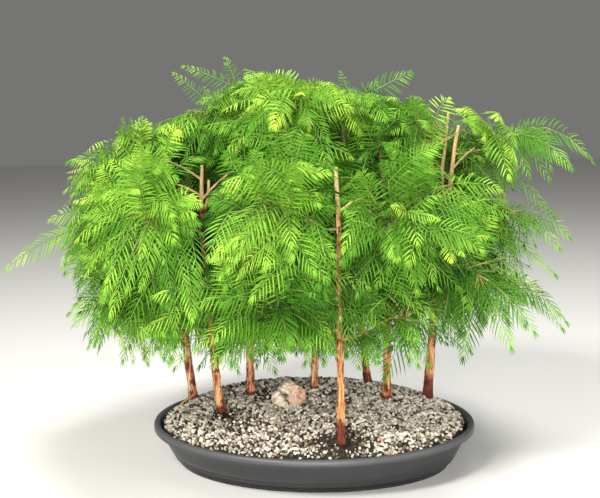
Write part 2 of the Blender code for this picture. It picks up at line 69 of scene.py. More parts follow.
def new_material(name, roughness, specular=0.5):
    material = bpy.data.materials.new(name)
    material.use_nodes = True
    shader = material.node_tree.nodes["Principled BSDF"]
    shader.inputs["Roughness"].default_value = roughness
    shader.inputs["Specular IOR Level"].default_value = specular
    return material, material.node_tree.nodes, material.node_tree.links, shader


def noise_colour(nodes, links, shader, stops, scale, detail=4.0, stretch=(1, 1, 1)):
    """Base colour from noise through a ramp of (place, colour) stops; returns the noise."""
    place = nodes.new("ShaderNodeTexCoord")
    spread = nodes.new("ShaderNodeMapping")
    spread.inputs["Scale"].default_value = stretch
    grain = nodes.new("ShaderNodeTexNoise")
    grain.inputs["Scale"].default_value = scale
    grain.inputs["Detail"].default_value = detail
    ramp = nodes.new("ShaderNodeValToRGB")
    while len(ramp.color_ramp.elements) < len(stops):
        ramp.color_ramp.elements.new(0.5)
    for element, (spot, colour) in zip(ramp.color_ramp.elements, stops):
        element.position = spot
        element.color = (*colour, 1.0)
    links.new(place.outputs["Object"], spread.inputs["Vector"])
    links.new(spread.outputs["Vector"], grain.inputs["Vector"])
    links.new(grain.outputs["Fac"], ramp.inputs["Fac"])
    links.new(ramp.outputs["Color"], shader.inputs["Base Color"])
    return grain


def add_bump(nodes, links, shader, source, strength, distance):
    bump = nodes.new("ShaderNodeBump")
    bump.inputs["Strength"].default_value = strength
    bump.inputs["Distance"].default_value = distance
    links.new(source.outputs["Fac"], bump.inputs["Height"])
    links.new(bump.outputs["Normal"], shader.inputs["Normal"])


def mesh_piece(name, points, faces, material, smooth=True):
    mesh = bpy.data.meshes.new(name)
    mesh.from_pydata([tuple(p) for p in points], [], faces)
    mesh.materials.append(material)
    mesh.update()
    if smooth:
        mesh.polygons.foreach_set("use_smooth", [True] * len(mesh.polygons))
    piece = bpy.data.objects.new(name, mesh)
    bpy.context.scene.collection.objects.link(piece)
    return piece


def array_piece(name, points, triangles, material, smooth=True):
    """Mesh from arrays of points and triangles."""
    mesh = bpy.data.meshes.new(name)
    mesh.vertices.add(len(points))
    mesh.vertices.foreach_set("co", np.asarray(points, np.float32).ravel())
    mesh.loops.add(3 * len(triangles))
    mesh.loops.foreach_set("vertex_index", np.asarray(triangles, np.int32).ravel())
    mesh.polygons.add(len(triangles))
    mesh.polygons.foreach_set("loop_start", np.arange(0, 3 * len(triangles), 3, dtype=np.int32))
    mesh.polygons.foreach_set("use_smooth", np.full(len(triangles), smooth))
    mesh.update(calc_edges=True)
    mesh.materials.append(material)
    piece = bpy.data.objects.new(name, mesh)
    bpy.context.scene.collection.objects.link(piece)
    return piece


def place(piece, slot, *nodes):
    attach(piece, "root")
    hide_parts(*nodes)


def draw_rings(name, rings, sides):
    """A disc drawn up ring after ring; a ring is its half length, half width and height."""
    bpy.ops.object.select_all(action="DESELECT")
    bpy.ops.mesh.primitive_circle_add(vertices=sides, radius=1.0, fill_type="NGON", location=(0, 0, rings[0][2]))
    piece = bpy.context.active_object
    piece.name = name
    bpy.ops.object.mode_set(mode="EDIT")
    bpy.ops.mesh.select_all(action="SELECT")
    bpy.ops.transform.resize(value=(rings[0][0], rings[0][1], 1.0), center_override=(0, 0, 0))
    for last, ring in zip(rings, rings[1:]):
        bpy.ops.mesh.extrude_region_move(TRANSFORM_OT_translate={"value": (0, 0, ring[2] - last[2])})
        bpy.ops.transform.resize(value=(ring[0] / last[0], ring[1] / last[1], 1.0), center_override=(0, 0, 0))
    bpy.ops.mesh.select_all(action="SELECT")
    bpy.ops.mesh.normals_make_consistent(inside=False)
    bpy.ops.object.mode_set(mode="OBJECT")
    bpy.ops.object.transform_apply(location=True, rotation=False, scale=False)
    bpy.ops.object.shade_smooth()
    return piece


def tray_axes(height, inset):
    share = min(1.0, height / TRAY_HEIGHT)
    half_length = mix(FOOT_HALF_LENGTH, TRAY_HALF_LENGTH, share) - inset
    half_width = mix(FOOT_HALF_WIDTH, TRAY_HALF_WIDTH, share) - inset
    return half_length, half_width


def ellipse(half_length, half_width, height, sides):
    return [(half_length * math.cos(2 * math.pi * i / sides),
             half_width * math.sin(2 * math.pi * i / sides), height) for i in range(sides)]


def ring_faces(rings, sides):
    faces = []
    for k in range(rings - 1):
        for i in range(sides):
            j = (i + 1) % sides
            a = k * sides
            b = a + sides
            faces.append((a + i, a + j, b + j, b + i))
    return faces


lip_foot = TRAY_HEIGHT - LIP_HEIGHT
inner_top = TRAY_HEIGHT - 0.0012
inner_top_axes = tray_axes(TRAY_HEIGHT, LIP_WIDTH)
inner_floor_axes = tray_axes(0.010, WALL_THICKNESS + 0.0040)
profile = [
    (*tray_axes(0.0, 0.0025), 0.0),
    (*tray_axes(0.0, 0.0016), 0.0004),
    (*tray_axes(0.0, 0.0012), 0.0012),
    (*tray_axes(0.0, 0.0010), FOOT_HEIGHT - 0.0014),
    (*tray_axes(0.0, 0.0004), FOOT_HEIGHT - 0.0006),
    (*tray_axes(0.0, -0.0010), FOOT_HEIGHT),
    (*tray_axes(0.0095, 0.0001), 0.0095),
    (*tray_axes(0.0100, 0.0007), 0.0100),
    (*tray_axes(0.0106, 0.0007), 0.0106),
    (*tray_axes(0.0111, 0.0002), 0.0111),
    (*tray_axes(0.0142, 0.0003), 0.0142),
    (*tray_axes(0.0147, 0.0009), 0.0147),
    (*tray_axes(0.0153, 0.0009), 0.0153),
    (*tray_axes(0.0158, 0.0004), 0.0158),
    (*tray_axes(0.024, 0.0010), 0.024),
    (*tray_axes(0.036, 0.0017), 0.036),
    (*tray_axes(lip_foot, 0.0022), lip_foot - 0.0004),
    (*tray_axes(lip_foot, 0.0012), lip_foot),
    (*tray_axes(TRAY_HEIGHT, 0.0010), lip_foot + 0.0003),
    (*tray_axes(TRAY_HEIGHT, 0.0003), lip_foot + 0.0010),
    (*tray_axes(TRAY_HEIGHT, 0.0), lip_foot + 0.0030),
    (*tray_axes(TRAY_HEIGHT, 0.0002), TRAY_HEIGHT - 0.0026),
    (*tray_axes(TRAY_HEIGHT, 0.0010), TRAY_HEIGHT - 0.0010),
    (*tray_axes(TRAY_HEIGHT, 0.0024), TRAY_HEIGHT - 0.0001),
    (*tray_axes(TRAY_HEIGHT, 0.0044), TRAY_HEIGHT),
    (*tray_axes(TRAY_HEIGHT, 0.0064), TRAY_HEIGHT - 0.0004),
    (*inner_top_axes, inner_top - 0.0006),
    (mix(inner_floor_axes[0], inner_top_axes[0], 0.5), mix(inner_floor_axes[1], inner_top_axes[1], 0.5), 0.028),
    (*inner_floor_axes, TRAY_FLOOR),
]
plastic, nodes, links, shader = new_material("charcoal plastic", 0.40, 0.5)
smudge = noise_colour(nodes, links, shader,
                      ((0.30, (0.013, 0.014, 0.016)), (0.62, (0.022, 0.024, 0.027)), (0.85, (0.045, 0.046, 0.048))),
                      38.0, 6.0, (1, 1, 1.6))
haze = nodes.new("ShaderNodeMapRange")
haze.inputs["To Min"].default_value = 0.32
haze.inputs["To Max"].default_value = 0.55
links.new(smudge.outputs["Fac"], haze.inputs["Value"])
links.new(haze.outputs["Result"], shader.inputs["Roughness"])
pores = nodes.new("ShaderNodeTexNoise")
pores.inputs["Scale"].default_value = 900.0
spot = nodes.new("ShaderNodeTexCoord")
links.new(spot.outputs["Object"], pores.inputs["Vector"])
axes = nodes.new("ShaderNodeSeparateXYZ")
links.new(spot.outputs["Object"], axes.inputs["Vector"])
# Painted highlight: the colour is mixed towards lighter grey up the lip to its top.
lip_highlight = nodes.new("ShaderNodeMapRange")
lip_highlight.inputs["From Min"].default_value = TRAY_HEIGHT - LIP_HEIGHT
lip_highlight.inputs["From Max"].default_value = TRAY_HEIGHT
lip_highlight.inputs["To Max"].default_value = 0.55
links.new(axes.outputs["Z"], lip_highlight.inputs["Value"])
lip_highlight_mix = nodes.new("ShaderNodeMix")
lip_highlight_mix.data_type = "RGBA"
lip_highlight_mix.inputs["B"].default_value = (0.160, 0.168, 0.175, 1.0)
links.new(lip_highlight.outputs["Result"], lip_highlight_mix.inputs["Factor"])
links.new(shader.inputs["Base Color"].links[0].from_socket, lip_highlight_mix.inputs["A"])
links.new(lip_highlight_mix.outputs["Result"], shader.inputs["Base Color"])
add_bump(nodes, links, shader, pores, 0.10, 0.0003)
tray = draw_rings("oval_tray", profile, SIDES)
tray.data.materials.append(plastic)
place(tray, "tray_plastic", "tray")

# Grit mound
# Damp soil under a loose, lumpy layer of light beige-grey pumice grains, 3 to 6 mm
# across, with a few pinkish ones; darker and finer where water has sorted them.
GAP = 0.0003
SOIL_EDGE_HEIGHT = 0.0445
MOUND_RISE = 0.0385
MOUND_LEAN = 0.006
GRIT_LUMP = 0.021
GRIT_RELIEF = 0.0036
GRAIN_COUNT = 6800
STONE_PLACE = (-0.026, -0.030)
DAMP_SPOTS = ((-0.098, -0.052, 0.016), (0.046, -0.108, 0.020), (-0.070, 0.016, 0.020), (0.028, -0.112, 0.014))

inner_share = (SOIL_EDGE_HEIGHT - TRAY_FLOOR) / (inner_top - TRAY_FLOOR)
EDGE_AXES = (mix(inner_floor_axes[0], inner_top_axes[0], inner_share) - 0.0004,
             mix(inner_floor_axes[1], inner_top_axes[1], inner_share) - 0.0004)


def mound_height(x, y):
    out = (x / EDGE_AXES[0]) ** 2 + (y / EDGE_AXES[1]) ** 2
    rise = MOUND_RISE + MOUND_LEAN * y / EDGE_AXES[1]
    return SOIL_EDGE_HEIGHT + rise * math.sqrt(max(0.0, 1.0 - out))


def grit_relief(x, y):
    """Height of the lumps that the coarsest grains raise on the mound."""
    return GRIT_RELIEF * noise.noise(Vector((x / GRIT_LUMP, y / GRIT_LUMP, 0.5)))


SOIL_DROP = 0.0036
SOIL_RINGS = 26
earth, nodes, links, shader = new_material("damp soil", 0.95, 0.2)
crumbs = noise_colour(nodes, links, shader,
                      ((0.3, (0.020, 0.017, 0.013)), (0.6, (0.046, 0.038, 0.029)), (0.8, (0.095, 0.080, 0.062))),
                      420.0, 6.0)
add_bump(nodes, links, shader, crumbs, 0.6, 0.002)
soil_rings = [(inner_floor_axes[0] - 0.0006, inner_floor_axes[1] - 0.0006, TRAY_FLOOR + GAP)]
for k in range(SOIL_RINGS, 0, -1):
    share = math.sin(0.5 * math.pi * k / SOIL_RINGS)
    soil_rings.append((EDGE_AXES[0] * share, EDGE_AXES[1] * share, SOIL_EDGE_HEIGHT + 0.0001 * (SOIL_RINGS - k)))
soil = draw_rings("soil_bed", soil_rings, 96)
for vertex in soil.data.vertices:
    x, y, z = vertex.co
    if z > SOIL_EDGE_HEIGHT - 0.001:
        share = math.sqrt((x / EDGE_AXES[0]) ** 2 + (y / EDGE_AXES[1]) ** 2)
        inside = min(1.0, max(0.0, 1.0 - share) / 0.02)
        vertex.co[2] = mound_height(x, y) + inside * (grit_relief(x, y) - SOIL_DROP)
soil.data.materials.append(earth)
place(soil, "grit", "grit_mound")

rng = np.random.default_rng(3)


def angular_shape():
    """Points and faces of the hull round scattered points: one worn grain."""
    grain_mesh = bmesh.new()
    for way in rng.normal(size=(14, 3)):
        grain_mesh.verts.new(unit(way) * rng.uniform(0.88, 1.08) * (1.15, 0.95, 0.82))
    bmesh.ops.convex_hull(grain_mesh, input=grain_mesh.verts)
    loose = [v for v in grain_mesh.verts if not v.link_faces]
    bmesh.ops.delete(grain_mesh, geom=loose, context="VERTS")
    grain_mesh.verts.index_update()
    points = np.array([v.co for v in grain_mesh.verts])
    faces = np.array([[v.index for v in face.verts] for face in grain_mesh.faces])
    grain_mesh.free()
    return points, faces


grain_shapes = [angular_shape() for _ in range(30)]
GRAIN_TINTS = {
    "dark": (0.060, 0.048, 0.035),
    "brown": (0.200, 0.160, 0.115),
    "tan": (0.420, 0.365, 0.285),
    "pale": (0.640, 0.580, 0.475),
    "cream": (0.860, 0.800, 0.680),
    "pink": (0.560, 0.340, 0.260),
}
SHADE_BOUNDS = (0.22, 0.42, 0.66, 0.95)
grain_names = tuple(GRAIN_TINTS)
grain_stores = {name: ([], []) for name in GRAIN_TINTS}
grain_firsts = dict.fromkeys(GRAIN_TINTS, 0)
for k in range(GRAIN_COUNT):
    spread = math.sqrt((k + 0.5) / GRAIN_COUNT)
    turn = k * math.pi * (3 - math.sqrt(5))
    x = (EDGE_AXES[0] - 0.0026) * spread * math.cos(turn) + rng.normal(0, 0.0006)
    y = (EDGE_AXES[1] - 0.0026) * spread * math.sin(turn) + rng.normal(0, 0.0006)
    damp = max(math.exp(-((x - u) ** 2 + (y - v) ** 2) / (r * r)) for u, v, r in DAMP_SPOTS)
    if rng.uniform() < 0.55 * damp:
        continue
    size = min(0.0034, 0.00226 * rng.lognormal(0.0, 0.20) * (1.0 - 0.35 * damp))
    shape, faces = grain_shapes[k % len(grain_shapes)]
    axis = unit(rng.normal(size=3))
    turned = np.array(Matrix.Rotation(rng.uniform(0, 6.28), 3, Vector(axis))) @ (shape * size).T
    lift = grit_relief(x, y) + rng.uniform(-0.0034, -0.0003)
    # Painted light and shade: grains are dealt lighter tints from the front towards the middle and to the right, where
    # the crown's shadow falls on the grit, darker ones at the very back, and a wider spread of tints in the middle
    # that stands in for shadows between grains. The damp spots make grains darker too.
    painted_light_depth = min(max(y + 0.10, 0.0), 0.15)
    shade = 0.67 + 1.3 * painted_light_depth + 0.7 * max(0.0, x) + (0.37 + 1.6 * painted_light_depth) * rng.normal()
    shade -= 0.70 * damp * rng.uniform(0.4, 1.0) + 5.0 * max(0.0, y - 0.055)
    tint = grain_names[sum(shade > bound for bound in SHADE_BOUNDS)]
    if rng.uniform() < 0.02:
        tint = "pink"
    grain_stores[tint][0].append(turned.T + np.array([x, y, mound_height(x, y) + lift]))
    grain_stores[tint][1].append(faces + grain_firsts[tint])
    grain_firsts[tint] += len(shape)
for tint, colour in GRAIN_TINTS.items():
    pumice, nodes, links, shader = new_material(tint + " pumice", 0.92, 0.25)
    low = tuple(0.66 * c for c in colour)
    high = tuple(min(1.0, 1.16 * c) for c in colour)
    speck = noise_colour(nodes, links, shader, ((0.35, low), (0.60, high)), 1300.0, 3.0)
    add_bump(nodes, links, shader, speck, 0.5, 0.0006)
    points, triangles = grain_stores[tint]
    grains = array_piece("grit_grains_" + tint, np.vstack(points), np.vstack(triangles), pumice, smooth=False)
    place(grains, "grit", "grit_mound")

# Stone
# A fist-shaped lump of pale beige rock, craggy, with pinkish weathered sides,
# lying on the grit among the trees.
STONE_SIZE = (0.042, 0.031, 0.029)
bpy.ops.object.select_all(action="DESELECT")
bpy.ops.mesh.primitive_ico_sphere_add(subdivisions=6, radius=1.0)
stone = bpy.context.active_object
stone.name = "pale_stone"
STONE_BASE = -0.55
STONE_FACES = (
    ((-0.60, 0.00, 0.80), 0.60), ((0.42, 0.05, 0.90), 0.66), ((0.98, -0.10, 0.15), 0.86), ((-0.97, -0.10, 0.20), 0.90),
    ((-0.50, -0.80, 0.20), 0.74), ((0.55, -0.75, 0.30), 0.74), ((0.05, -0.60, 0.80), 0.66), ((0.00, 0.95, 0.30), 0.80),
    ((-0.25, 0.60, 0.75), 0.74), ((0.45, 0.55, 0.70), 0.70), ((0.80, -0.20, 0.65), 0.78), ((-0.75, 0.55, 0.30), 0.82),
)
CUTS = [(unit(way), depth) for way, depth in STONE_FACES]
HOLLOW = unit((-0.30, -0.90, 0.12))
HOLLOW_SHAPE = np.array([1.5, 1.0, 2.6])
crevice_shades = []
for vertex in stone.data.vertices:
    way = np.array(vertex.co)
    reach = 1.0
    for cut, depth in CUTS:
        facing = float(way @ cut)
        if facing > 0.1:
            reach = min(reach, depth / facing)
    crag = noise.fractal(Vector(way * 1.7 + 7.0), 0.8, 2.2, 7)
    block = 1.0 - 2.0 * abs(noise.noise(Vector(way * 1.5 + 2.0)))
    wave = 0.30 * noise.noise(Vector(way * 2.6 + 5.0)) + 0.10 * noise.noise(Vector(way * 8.0))
    crack = max(0.0, 1.0 - abs(float(way @ (0.62, -0.20, 0.72)) + 0.08 + wave) / 0.11)
    small = max(0.0, 1.0 - abs(noise.noise(Vector(way * 2.9 + 3.0))) / 0.055)
    pits = noise.noise(Vector(way * 9.0 + 3.0))
    hollow = max(0.0, 1.0 - np.linalg.norm((way - HOLLOW) * HOLLOW_SHAPE) + 0.8 * wave)
    # How strongly each point's colour is darkened: painted shade in the cracks, pits and the hollow.
    crevice_shades.append(max(1.9 * crack - 0.35, 1.3 * small - 0.4, 2.4 * (-pits - 0.30), 1.6 * hollow - 0.25))
    dent = 0.26 * crack ** 0.7 + 0.08 * small + 0.30 * hollow
    spot_at = way * (reach * (1.0 + 0.10 * crag + 0.22 * block + 0.04 * pits - dent))
    spot_at[2] = max(spot_at[2], STONE_BASE)
    vertex.co = spot_at
corners = np.array([v.co for v in stone.data.vertices])
low = corners.min(0)
size = corners.max(0) - low
seat = mound_height(*STONE_PLACE) - 0.0015 + GAP
for vertex in stone.data.vertices:
    share = (np.array(vertex.co) - low) / size
    vertex.co = (STONE_PLACE[0] + (share[0] - 0.5) * STONE_SIZE[0],
                 STONE_PLACE[1] + (share[1] - 0.5) * STONE_SIZE[1], seat + share[2] * STONE_SIZE[2])
bpy.ops.object.shade_smooth()
rock, nodes, links, shader = new_material("pale rock", 0.9, 0.3)
veins = noise_colour(nodes, links, shader,
                     ((0.30, (0.34, 0.23, 0.15)), (0.40, (0.64, 0.52, 0.38)), (0.50, (0.86, 0.77, 0.61)),
                      (0.70, (0.95, 0.90, 0.77))), 150.0, 8.0, (1, 1, 0.7))
cream = shader.inputs["Base Color"].links[0].from_socket
where = nodes.new("ShaderNodeTexCoord")
axes = nodes.new("ShaderNodeSeparateXYZ")
links.new(where.outputs["Object"], axes.inputs["Vector"])
blush = nodes.new("ShaderNodeMapRange")
blush.inputs["From Min"].default_value = STONE_PLACE[0] + 0.006
blush.inputs["From Max"].default_value = STONE_PLACE[0] + 0.026
blush.inputs["To Min"].default_value = 0.08
blush.inputs["To Max"].default_value = 0.85
drift = nodes.new("ShaderNodeMath")
drift.operation = "MULTIPLY_ADD"
drift.inputs[1].default_value = 0.026
links.new(veins.outputs["Fac"], drift.inputs[0])
links.new(axes.outputs["X"], drift.inputs[2])
links.new(drift.outputs["Value"], blush.inputs["Value"])
tone = nodes.new("ShaderNodeMix")
tone.data_type = "RGBA"
tone.blend_type = "MULTIPLY"
tone.inputs["B"].default_value = (0.80, 0.50, 0.44, 1.0)
links.new(blush.outputs["Result"], tone.inputs["Factor"])
links.new(cream, tone.inputs["A"])
# Painted shade: the colour is darkened towards dark brown in the cracks, pits and hollow, by the value stored per
# point.
depth = nodes.new("ShaderNodeAttribute")
depth.attribute_name = "crevice_shade"
shadow = nodes.new("ShaderNodeMix")
shadow.data_type = "RGBA"
shadow.inputs["B"].default_value = (0.090, 0.045, 0.025, 1.0)
links.new(depth.outputs["Fac"], shadow.inputs["Factor"])
links.new(tone.outputs["Result"], shadow.inputs["A"])
links.new(shadow.outputs["Result"], shader.inputs["Base Color"])
add_bump(nodes, links, shader, veins, 0.8, 0.0018)
stone.data.materials.append(rock)
place(stone, "stone", "stone")


def set_values(piece, name, values):
    store = piece.data.attributes.new(name, "FLOAT", "POINT")
    store.data.foreach_set("value", np.asarray(values, np.float32))


set_values(stone, "crevice_shade", np.clip(crevice_shades, 0.0, 1.0))

# Trunks
# Young dawn redwoods, one stem each from a small root flare to a cut tip, with
# stringy orange-brown bark that peels in upright strips; two carry a second leader.
TREES = (
    {"name": "left", "foot": (-0.156, 0.030), "lean": 0.011, "bow": -0.015,
     "back": 0.006, "tip": 0.386, "radius": 0.0051, "shows": 0.168,
     "limbs": ((190, 0.272, 0.100), (200, 0.182, 0.070), (222, 0.340, 0.066), (116, 0.245, 0.105))},
    {"name": "front_left", "foot": (-0.106, -0.042), "lean": -0.014, "bow": -0.005,
     "back": 0.0, "tip": 0.367, "radius": 0.0050, "shows": 0.370,
     "limbs": ((209, 0.195, 0.110), (252, 0.290, 0.112), (20, 0.215, 0.050))},
    {"name": "middle_left", "foot": (-0.077, 0.004), "lean": -0.006, "bow": 0.002,
     "back": 0.006, "tip": 0.458, "radius": 0.0050, "shows": 0.180,
     "limbs": ((140, 0.405, 0.042), (111, 0.345, 0.140), (92, 0.215, 0.140), (300, 0.300, 0.070))},
    {"name": "middle", "foot": (0.001, 0.018), "lean": 0.006, "bow": 0.002,
     "back": 0.004, "tip": 0.425, "radius": 0.0045, "shows": 0.150,
     "limbs": ((245, 0.408, 0.045), (96, 0.315, 0.122), (84, 0.205, 0.130), (255, 0.225, 0.046))},
    {"name": "front", "foot": (0.042, -0.112), "lean": -0.002, "bow": 0.001,
     "back": 0.004, "tip": 0.366, "radius": 0.0045, "shows": 0.370,
     "limbs": ((206, 0.190, 0.082), (202, 0.300, 0.070), (348, 0.180, 0.082), (2, 0.295, 0.072))},
    {"name": "back", "foot": (0.066, 0.068), "lean": -0.030, "bow": -0.002,
     "back": 0.004, "tip": 0.430, "radius": 0.0044, "shows": 0.180,
     "limbs": ((66, 0.280, 0.105), (52, 0.375, 0.085), (292, 0.412, 0.042), (285, 0.240, 0.055))},
    {"name": "middle_right", "foot": (0.091, 0.000), "lean": -0.006, "bow": 0.004,
     "back": 0.002, "tip": 0.395, "radius": 0.0048, "shows": 0.185,
     "limbs": ((318, 0.225, 0.135), (350, 0.365, 0.070), (215, 0.300, 0.046))},
    {"name": "right", "foot": (0.142, 0.040), "lean": 0.038, "bow": -0.004,
     "back": 0.004, "tip": 0.406, "radius": 0.0057, "shows": 0.205,
     "limbs": ((342, 0.372, 0.064), (350, 0.280, 0.076), (335, 0.195, 0.078),
               (80, 0.215, 0.092), (70, 0.320, 0.085))},
)
FORKS = {"front_left": (0.308, 0.0085, 0.350), "right": (0.285, -0.0125, 0.421)}
ROOT_FLARE = 0.22
SHORT_REACH = 0.0725
BARK_SIDES = 30
BRIGHT_TREES = ("front_left", "front", "middle_right")
SURFACE_ROOT = np.array([(-0.1570, 0.0290, 0.0675), (-0.1600, 0.0220, 0.0668), (-0.1635, 0.0150, 0.0662),
                         (-0.1672, 0.0080, 0.0640), (-0.1705, 0.0020, 0.0600)])
# Trees whose straw colour reaches farther below the tip: painted light, so these tops, shaded by the crown, show
# bright.
PAINTED_LIT_TOPS = ("middle", "middle_right", "right")
SLIM_TIPS = {"right": 0.26, "front_left": 0.16}
OLD_FOOT = {"front": 0.064, "right": 0.070, "back": 0.040, "front_left": 0.020}


def trunk_axis(tree, height):
    foot_x, foot_y = tree["foot"]
    share = (height - tree["seat"]) / (tree["tip"] - tree["seat"])
    sway = 0.0016 * math.sin(9.0 * share + 20 * foot_x)
    x = foot_x + tree["lean"] * share + tree["bow"] * math.sin(math.pi * share) + sway * share
    y = foot_y + tree["back"] * share
    return np.array([x, y, height])


def trunk_radius(tree, height):
    share = (height - tree["seat"]) / (tree["tip"] - tree["seat"])
    flare = ROOT_FLARE * math.exp(-(height - tree["seat"]) / 0.009)
    return tree["radius"] * (mix(1.0, 0.46, share) + flare)


def fork_path(tree):
    start, sideways, end = FORKS[tree["name"]]
    path = []
    for k in range(5):
        share = k / 4
        height = mix(start, end, share)
        middle = trunk_axis(tree, min(height, tree["tip"]))
        middle[0] += sideways * math.sin(0.5 * math.pi * min(1.0, 1.6 * share))
        middle[1] -= 0.002 * share
        middle[2] = height
        path.append(middle)
    return path


def resampled(path, radii, parts):
    """Path and radii at equal steps along their length."""
    path = np.asarray(path, float)
    lengths = np.concatenate([[0.0], np.cumsum(np.linalg.norm(np.diff(path, axis=0), axis=1))])
    spots = np.linspace(0.0, lengths[-1], parts + 1)
    points = np.stack([np.interp(spots, lengths, path[:, axis]) for axis in range(3)], axis=1)
    return points, np.interp(spots, lengths, radii)


def round_bar(name, sides, stages):
    """An upright bar of unit size, its long edges cut into equal parts in stages."""
    bpy.ops.object.select_all(action="DESELECT")
    bpy.ops.mesh.primitive_cylinder_add(vertices=sides, radius=1.0, depth=1.0, location=(0, 0, 0.5))
    bpy.ops.object.transform_apply(location=True, rotation=False, scale=False)
    bar = bpy.context.active_object
    bar.name = name
    bpy.context.tool_settings.mesh_select_mode = (False, True, False)
    for parts in stages:
        bpy.ops.object.mode_set(mode="EDIT")
        bpy.ops.mesh.select_all(action="DESELECT")
        bpy.ops.object.mode_set(mode="OBJECT")
        for edge in bar.data.edges:
            low, high = (bar.data.vertices[v].co.z for v in edge.vertices)
            edge.select = abs(high - low) > 0.004
        bpy.ops.object.mode_set(mode="EDIT")
        bpy.ops.mesh.subdivide(number_cuts=parts - 1)
        bpy.ops.object.mode_set(mode="OBJECT")
    return bar


def bark_limb(name, path, radii, sides, relief, seed, material, lobes=0.0, step=0.0018, slim=0.0):
    """A bar laid along a path, with upright bark strips and plates raised on it, smooth at its tip."""
    length = np.linalg.norm(np.diff(path, axis=0), axis=1).sum()
    halves = 2 if length > 0.15 else 1
    parts = max(4, round(length / step / halves))
    limb = round_bar(name, sides, (halves, parts) if halves > 1 else (parts,))
    parts *= halves
    path, radii = resampled(path, radii, parts)
    frames = []
    side = np.array([1.0, 0.0, 0.0])
    for k in range(parts + 1):
        ahead = unit(path[min(k + 1, parts)] - path[max(k - 1, 0)])
        if lobes and k == 0:
            ahead = np.array([0.0, 0.0, 1.0])
        side = unit(side - ahead * np.dot(side, ahead))
        frames.append((side, np.cross(ahead, side)))
    for vertex in limb.data.vertices:
        k = round(vertex.co.z * parts)
        angle = math.atan2(vertex.co.y, vertex.co.x)
        along = seed + k * length / parts
        ring = Vector((2.6 * math.cos(angle), 2.6 * math.sin(angle), 0.0))
        strips = noise.noise(Vector((ring.x * 1.5, ring.y * 1.5, 24 * along)))
        shreds = noise.noise(Vector((ring.x * 3.2, ring.y * 3.2, 110 * along)))
        knots = noise.noise(Vector((ring.x * 0.5, ring.y * 0.5, 60 * along)))
        plate = noise.noise(Vector((ring.x * 0.9, ring.y * 0.9, 45 * along + 5.0)))
        swell = 0.75 * strips + 0.45 * shreds + 1.5 * max(0.0, knots - 0.15)
        swell += 0.8 * min(1.0, max(0.0, plate / 0.10)) - 0.4
        foot = lobes * math.cos(4 * angle) * math.exp(-k * step / 0.006)
        tip = (k / parts) ** 3
        reach = radii[k] * (1.0 + foot) * (0.985 - slim * tip) + relief * (1.0 - 0.7 * tip) * swell
        side, other = frames[k]
        vertex.co = path[k] + reach * (math.cos(angle) * side + math.sin(angle) * other)
    limb.data.materials.append(material)
    limb.data.materials.append(cut_wood)
    for face in limb.data.polygons:
        face.use_smooth = len(face.vertices) == 4
        face.material_index = 0 if face.use_smooth else 1
    return limb


def joined(pieces):
    bpy.ops.object.select_all(action="DESELECT")
    for piece in pieces:
        piece.select_set(True)
    bpy.context.view_layer.objects.active = pieces[0]
    if len(pieces) > 1:
        bpy.ops.object.join()
    return pieces[0]


def thin_tube(path, radii, sides):
    """Closed tube along a path, for twigs and the stems of fronds."""
    points = []
    side = None
    for k in range(len(path)):
        ahead = unit(path[min(k + 1, len(path) - 1)] - path[max(k - 1, 0)])
        if side is None:
            side = unit(np.cross(ahead, (0.31, 0.87, 0.38)))
        side = unit(side - ahead * np.dot(side, ahead))
        other = np.cross(ahead, side)
        for i in range(sides):
            angle = 2 * math.pi * i / sides
            points.append(path[k] + radii[k] * (math.cos(angle) * side + math.sin(angle) * other))
    faces = ring_faces(len(path), sides)
    faces.append(tuple(range(sides - 1, -1, -1)))
    faces.append(tuple(range((len(path) - 1) * sides, len(path) * sides)))
    return points, faces


def append(store, points, faces):
    first = len(store[0])
    store[0].extend(points)
    store[1].extend(tuple(first + v for v in face) for face in faces)


def share_between(nodes, links, source, low, high, first, last):
    """Share that goes from first to last while the source goes from low to high."""
    share = nodes.new("ShaderNodeMapRange")
    share.inputs["From Min"].default_value = low
    share.inputs["From Max"].default_value = high
    share.inputs["To Min"].default_value = first
    share.inputs["To Max"].default_value = last
    links.new(source.outputs["Fac"], share.inputs["Value"])
    return share.outputs["Result"]


def peeling_bark(name, tones, bare):
    """Bark in long streaks of five tones, dark red at a foot, with dark flakes, straw near a tip."""
    material, nodes, links, shader = new_material(name, 0.82, 0.25)
    fibres = noise_colour(nodes, links, shader, tuple(zip((0.28, 0.40, 0.50, 0.61, 0.74), tones)),
                          330.0, 5.0, (1, 1, 0.13))
    current = shader.inputs["Base Color"].links[0].from_socket
    where = nodes.new("ShaderNodeTexCoord")
    stretch = nodes.new("ShaderNodeVectorMath")
    stretch.operation = "MULTIPLY"
    stretch.inputs[1].default_value = (1.0, 1.0, 0.40)
    links.new(where.outputs["Object"], stretch.inputs[0])
    patch = nodes.new("ShaderNodeTexNoise")
    patch.inputs["Scale"].default_value = 150.0
    patch.inputs["Detail"].default_value = 6.0
    patch.inputs["Roughness"].default_value = 0.75
    links.new(stretch.outputs["Vector"], patch.inputs["Vector"])
    age = nodes.new("ShaderNodeAttribute")
    age.attribute_name = "age"
    layers = (
        (share_between(nodes, links, age, 0.17, 0.25, 0.92, 0.0), (0.13, 0.018, 0.012)),
        (share_between(nodes, links, patch, bare, bare + 0.035, 0.0, 0.92), (0.085, 0.020, 0.010)),
        (share_between(nodes, links, age, 0.62, 0.85, 0.0, 0.76), (0.76, 0.560, 0.270)),
    )
    for share, colour in layers:
        tone = nodes.new("ShaderNodeMix")
        tone.data_type = "RGBA"
        tone.inputs["B"].default_value = (*colour, 1.0)
        links.new(share, tone.inputs["Factor"])
        links.new(current, tone.inputs["A"])
        current = tone.outputs["Result"]
    links.new(current, shader.inputs["Base Color"])
    add_bump(nodes, links, shader, fibres, 0.75, 0.0008)
    return material


